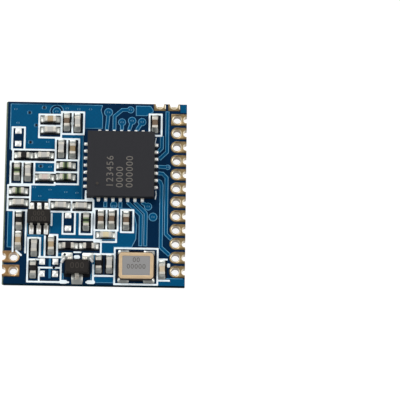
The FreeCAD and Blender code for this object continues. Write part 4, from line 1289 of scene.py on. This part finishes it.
def finish_pad(pad, on_barrel):
    """Gives a flat land its thickness and its barrels down to the middle of the board, and mirrors it."""
    half_tall = LAND_TOP / 2
    land = mm("plating")
    low = half_tall - land
    shift(0, 0, half_tall)
    bpy.ops.mesh.extrude_region_move(TRANSFORM_OT_translate={"value": (0, 0, -land)})
    pick(pad, "faces", lambda face: abs(middle(face).z - low) < 0.001 and on_barrel(middle(face)))
    bpy.ops.mesh.extrude_region_move(TRANSFORM_OT_translate={"value": (0, 0, -low)})
    # The ends of the barrels go, so that the mirrored half joins on to them
    bpy.ops.mesh.delete(type="FACE")
    face_outwards()
    apply_modifier(pad, "MIRROR", use_axis=(False, False, True), merge_threshold=0.001)
    edit(pad)
    face_outwards()
    start_clean()
    round_edges(pad, 0.012, 50)
    return pad


def place_pads(name, node, finish, pads):
    """Copies of the pad patterns, each (pattern, plan place, angle), as one piece."""
    centre = LAND_TOP / 2
    copies = [place_copy(pattern, "pad", on_board(x, y, centre), angle) for pattern, (x, y), angle in pads]
    settle(join_all(copies, name), "gold_plate", [node], finish)


class RADIO_MODULE_OT_pads(bpy.types.Operator):
    """Model the gold plated pads with their holes and half holes"""

    bl_idname = "radio_module.pads"
    bl_label = "Plated pads"

    def execute(self, context):
        inset, start = mm("header_inset"), mm("header_start")
        round_pad, square_pad = pad_shape("round", inset), pad_shape("square", inset)
        patterns = [round_pad] * (HEADER_PADS - 1) + [square_pad]
        place_pads("header_row", "header_pads", "gold", [
            (pattern, (BOARD_WIDTH - inset, start + index * PAD_PITCH), 0)
            for index, pattern in enumerate(patterns)
        ])
        discard(round_pad, square_pad)
        inset, start = mm("aerial_inset"), mm("aerial_start")
        reach = inset + mm("snapped")
        round_pad, square_pad = pad_shape("round", reach), pad_shape("square", reach)
        place_pads("aerial_row", "aerial_pads", "warm_gold", [
            (square_pad, (inset, start), 180), (round_pad, (inset, start + PAD_PITCH), 180),
        ])
        discard(round_pad, square_pad)
        reach = mm("top_reach")
        top_pad = top_pad_shape(reach)
        place_pads("top_edge_row", "top_edge_pads", "top_gold", [
            (top_pad, (BOARD_WIDTH - mm("top_inset") - index * PAD_PITCH, BOARD_LENGTH - reach), 90)
            for index in range(2)
        ])
        discard(top_pad)
        lay_strokes("top_edge_burrs", "gold_plate", "top_gold", BURRS, BURR_FOOT, BURR_TOP, 0.3)
        # Painted highlights along the right sides of the upper edge's lands
        lay_strokes("top_edge_worn_sides", "gold_plate", "worn_gold", HIGHLIT_SIDES, LAMINATE_TOP, HIGHLIGHT_TOP)
        return {"FINISHED"}


# Packages


def soften(node, name, width, slot, *materials):
    """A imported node's shape with its edges rounded."""
    piece = copy_node(node, name)
    round_edges(piece, width)
    apply_modifier(piece, "WEIGHTED_NORMAL", keep_sharp=True, weight=100)
    return settle(piece, slot, [node], *materials)


def burn_text(name, rows, place, height, pitch, slot, finish, angle=0, align="CENTER"):
    """Rows of plain digits burnt into a top face, each row a line of text."""
    lines = []
    for index, row in enumerate(rows):
        start_clean()
        bpy.ops.object.text_add(location=(0, 0, 0))
        text = bpy.context.object.data
        text.body = row
        text.size = height
        text.align_x = align
        text.align_y = "CENTER"
        text.extrude = MARK_LIFT
        text.space_character = 1.15
        bpy.ops.object.convert(target="MESH")
        line = bpy.context.object
        down = Matrix.Translation((0, -(index - (len(rows) - 1) / 2) * pitch, 0))
        turn = Matrix.Rotation(math.radians(angle), 4, "Z")
        line.data.transform(Matrix.Translation(place) @ turn @ down)
        lines.append(line)
    settle(join_all(lines, name), slot, [], finish)


def top_of(node):
    """The middle of a node's top face, in millimetres, lifted so that a mark on it shows."""
    place = node_middle(node)
    place.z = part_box(node)[1].z / MM + MARK_LIFT
    return place


class RADIO_MODULE_OT_radio_chip(bpy.types.Operator):
    """Finish the square radio chip, its leads and its marks"""

    bl_idname = "radio_module.radio_chip"
    bl_label = "Radio chip"

    def execute(self, context):
        soften("radio_chip_body", "radio_chip_moulding", mm("body_round"), "moulding_black", "radio_moulding")
        round_leads = mm("lead_round") / 2
        soften("radio_chip_leads_and_paddle", "radio_chip_lands", round_leads, "tinned_lead", "tin")
        level = top_of("radio_chip_body").z
        place = on_board(10.1, 8.68, level)
        rows = ("123456", "0000", "000000")
        burn_text("radio_chip_marks", rows, place, 0.87, 0.87, "moulding_black", "laser_mark", 90, "LEFT")
        disc = dark_disc("disc", 24, 0.13, 0.002, 0.02, 0.0)
        dot = place_copy(disc, "dot", on_board(8.1, 9.05, level - MARK_LIFT), 0)
        discard(disc)
        settle(join_all([dot], "radio_chip_dot"), "moulding_black", [], "faint_mark")
        return {"FINISHED"}


class RADIO_MODULE_OT_packages(bpy.types.Operator):
    """Finish the two small leaded packages"""

    bl_idname = "radio_module.packages"
    bl_label = "Small packages"

    def execute(self, context):
        for kind, rows, height, lowered in (
            ("switch", ("000", "0000"), 0.62, 0.09), ("transistor", ("000",), 0.76, 0.0),
        ):
            soften(f"{kind}_body", f"{kind}_moulding", mm("body_round"), "moulding_black", "small_moulding")
            soften(f"{kind}_leads", f"{kind}_gull_leads", mm("lead_round"), "tinned_lead", "tin")
            place = top_of(f"{kind}_body")
            place.y -= lowered
            burn_text(f"{kind}_marks", rows, place, height, 0.5, "moulding_black", "faint_mark")
        return {"FINISHED"}


class RADIO_MODULE_OT_crystal(bpy.types.Operator):
    """Finish the crystal: tray, plated rim and lid"""

    bl_idname = "radio_module.crystal"
    bl_label = "Crystal"

    def execute(self, context):
        soften("crystal_base", "crystal_tray", 0.03, "crystal_ceramic", "crystal_tray")
        soften("crystal_rim", "crystal_frame", 0.08, "rim_gold", "crystal_rim")
        soften("crystal_lid", "crystal_cover", 0.02, "lid_nickel", "crystal_lid")
        place = top_of("crystal_lid")
        place.y += 0.2
        burn_text("crystal_marks", ("00", "00000"), place, 0.6, 0.6, "lid_nickel", "lid_mark")
        return {"FINISHED"}


# Stage


def area_lamp(name, place, size, power):
    """A soft square lamp that looks at the module."""
    start_clean()
    bpy.ops.object.light_add(type="AREA", location=place)
    lamp = bpy.context.object
    lamp.name = name
    lamp.data.shape = "SQUARE"
    lamp.data.size = size
    lamp.data.energy = power
    lamp.rotation_euler = (-Vector(place)).to_track_quat("-Z", "Y").to_euler()


def background_rays(tree):
    """1 for camera, glossy and transmission rays."""
    path = tree.nodes.new("ShaderNodeLightPath")
    seen = maths(tree, "MAXIMUM", path.outputs["Is Camera Ray"], path.outputs["Is Glossy Ray"])
    return maths(tree, "MAXIMUM", seen, path.outputs["Is Transmission Ray"])


class RADIO_MODULE_OT_stage(bpy.types.Operator):
    """Set the camera, the lamps, the world and the pale floor"""

    bl_idname = "radio_module.stage"
    bl_label = "Stage"

    def execute(self, context):
        start_clean()
        bpy.ops.object.camera_add(location=CAMERA_PLACE, rotation=CAMERA_TURN)
        camera = bpy.context.object
        camera.name = "photo_camera"
        camera.data.lens = CAMERA_LENS
        camera.data.clip_start = 0.01
        camera.data.clip_end = 20
        context.scene.camera = camera

        floor = start_piece(
            "floor", bpy.ops.mesh.primitive_grid_add, x_subdivisions=2, y_subdivisions=2, size=FLOOR_SIZE,
        )
        edit(floor)
        shift(0, 0, FLOOR_LEVEL)
        start_clean()
        tree, shader = start_material("pale_floor", 0.7, specular=0.1)
        seen = background_rays(tree)
        tree.links.new(blend_colours(tree, seen, FLOOR_LIT, FLOOR_SEEN), shader.inputs["Base Color"])
        shader.inputs["Emission Color"].default_value = (1, 1, 1, 1)
        tree.links.new(maths(tree, "MULTIPLY", seen, FLOOR_GLOW), shader.inputs["Emission Strength"])
        floor.data.materials.append(MATERIALS["pale_floor"])

        for name, values in LAMPS.items():
            area_lamp(name, *values)
        world = bpy.data.worlds.new("studio")
        world.use_nodes = True
        context.scene.world = world
        tree = world.node_tree
        overhead = ramp(tree, axes_of(tree, "Generated")["Z"], *WORLD_RAMP)
        sky = blend_colours(tree, overhead, HORIZON, OVERHEAD)
        tree.links.new(sky, tree.nodes["Background"].inputs["Color"])
        context.scene.view_settings.view_transform = "Standard"
        return {"FINISHED"}


class RADIO_MODULE_OT_finishes(bpy.types.Operator):
    """Mix the module's finishes from the panel's colours"""

    bl_idname = "radio_module.finishes"
    bl_label = "Finishes"

    def execute(self, context):
        build_materials()
        return {"FINISHED"}


OPERATORS = (
    RADIO_MODULE_OT_finishes,
    RADIO_MODULE_OT_board,
    RADIO_MODULE_OT_print,
    RADIO_MODULE_OT_vias,
    RADIO_MODULE_OT_pads,
    RADIO_MODULE_OT_solder,
    RADIO_MODULE_OT_capacitors,
    RADIO_MODULE_OT_inductors,
    RADIO_MODULE_OT_resistors,
    RADIO_MODULE_OT_radio_chip,
    RADIO_MODULE_OT_packages,
    RADIO_MODULE_OT_crystal,
    RADIO_MODULE_OT_stage,
)


class RADIO_MODULE_PT_panel(bpy.types.Panel):
    """The module's sizes, colours and steps"""

    bl_label = "Radio Module"
    bl_idname = "RADIO_MODULE_PT_panel"
    bl_space_type = "VIEW_3D"
    bl_region_type = "UI"
    bl_category = "Radio Module"

    def draw(self, context):
        for group in (context.scene.radio_module_sizes, context.scene.radio_module_colours):
            box = self.layout.box()
            for name in group.__annotations__:
                box.prop(group, name)
        for operator in OPERATORS:
            self.layout.operator(operator.bl_idname)


CLASSES = (ModuleSizes, ModuleColours, *OPERATORS, RADIO_MODULE_PT_panel)


def register():
    for item in CLASSES:
        bpy.utils.register_class(item)
    bpy.types.Scene.radio_module_sizes = bpy.props.PointerProperty(type=ModuleSizes)
    bpy.types.Scene.radio_module_colours = bpy.props.PointerProperty(type=ModuleColours)


def unregister():
    del bpy.types.Scene.radio_module_colours
    del bpy.types.Scene.radio_module_sizes
    for item in reversed(CLASSES):
        bpy.utils.unregister_class(item)


def main():
    register()
    for operator in OPERATORS:
        getattr(bpy.ops.radio_module, operator.bl_idname.split(".")[1])()
    start_clean()


if __name__ == "__main__":
    main()
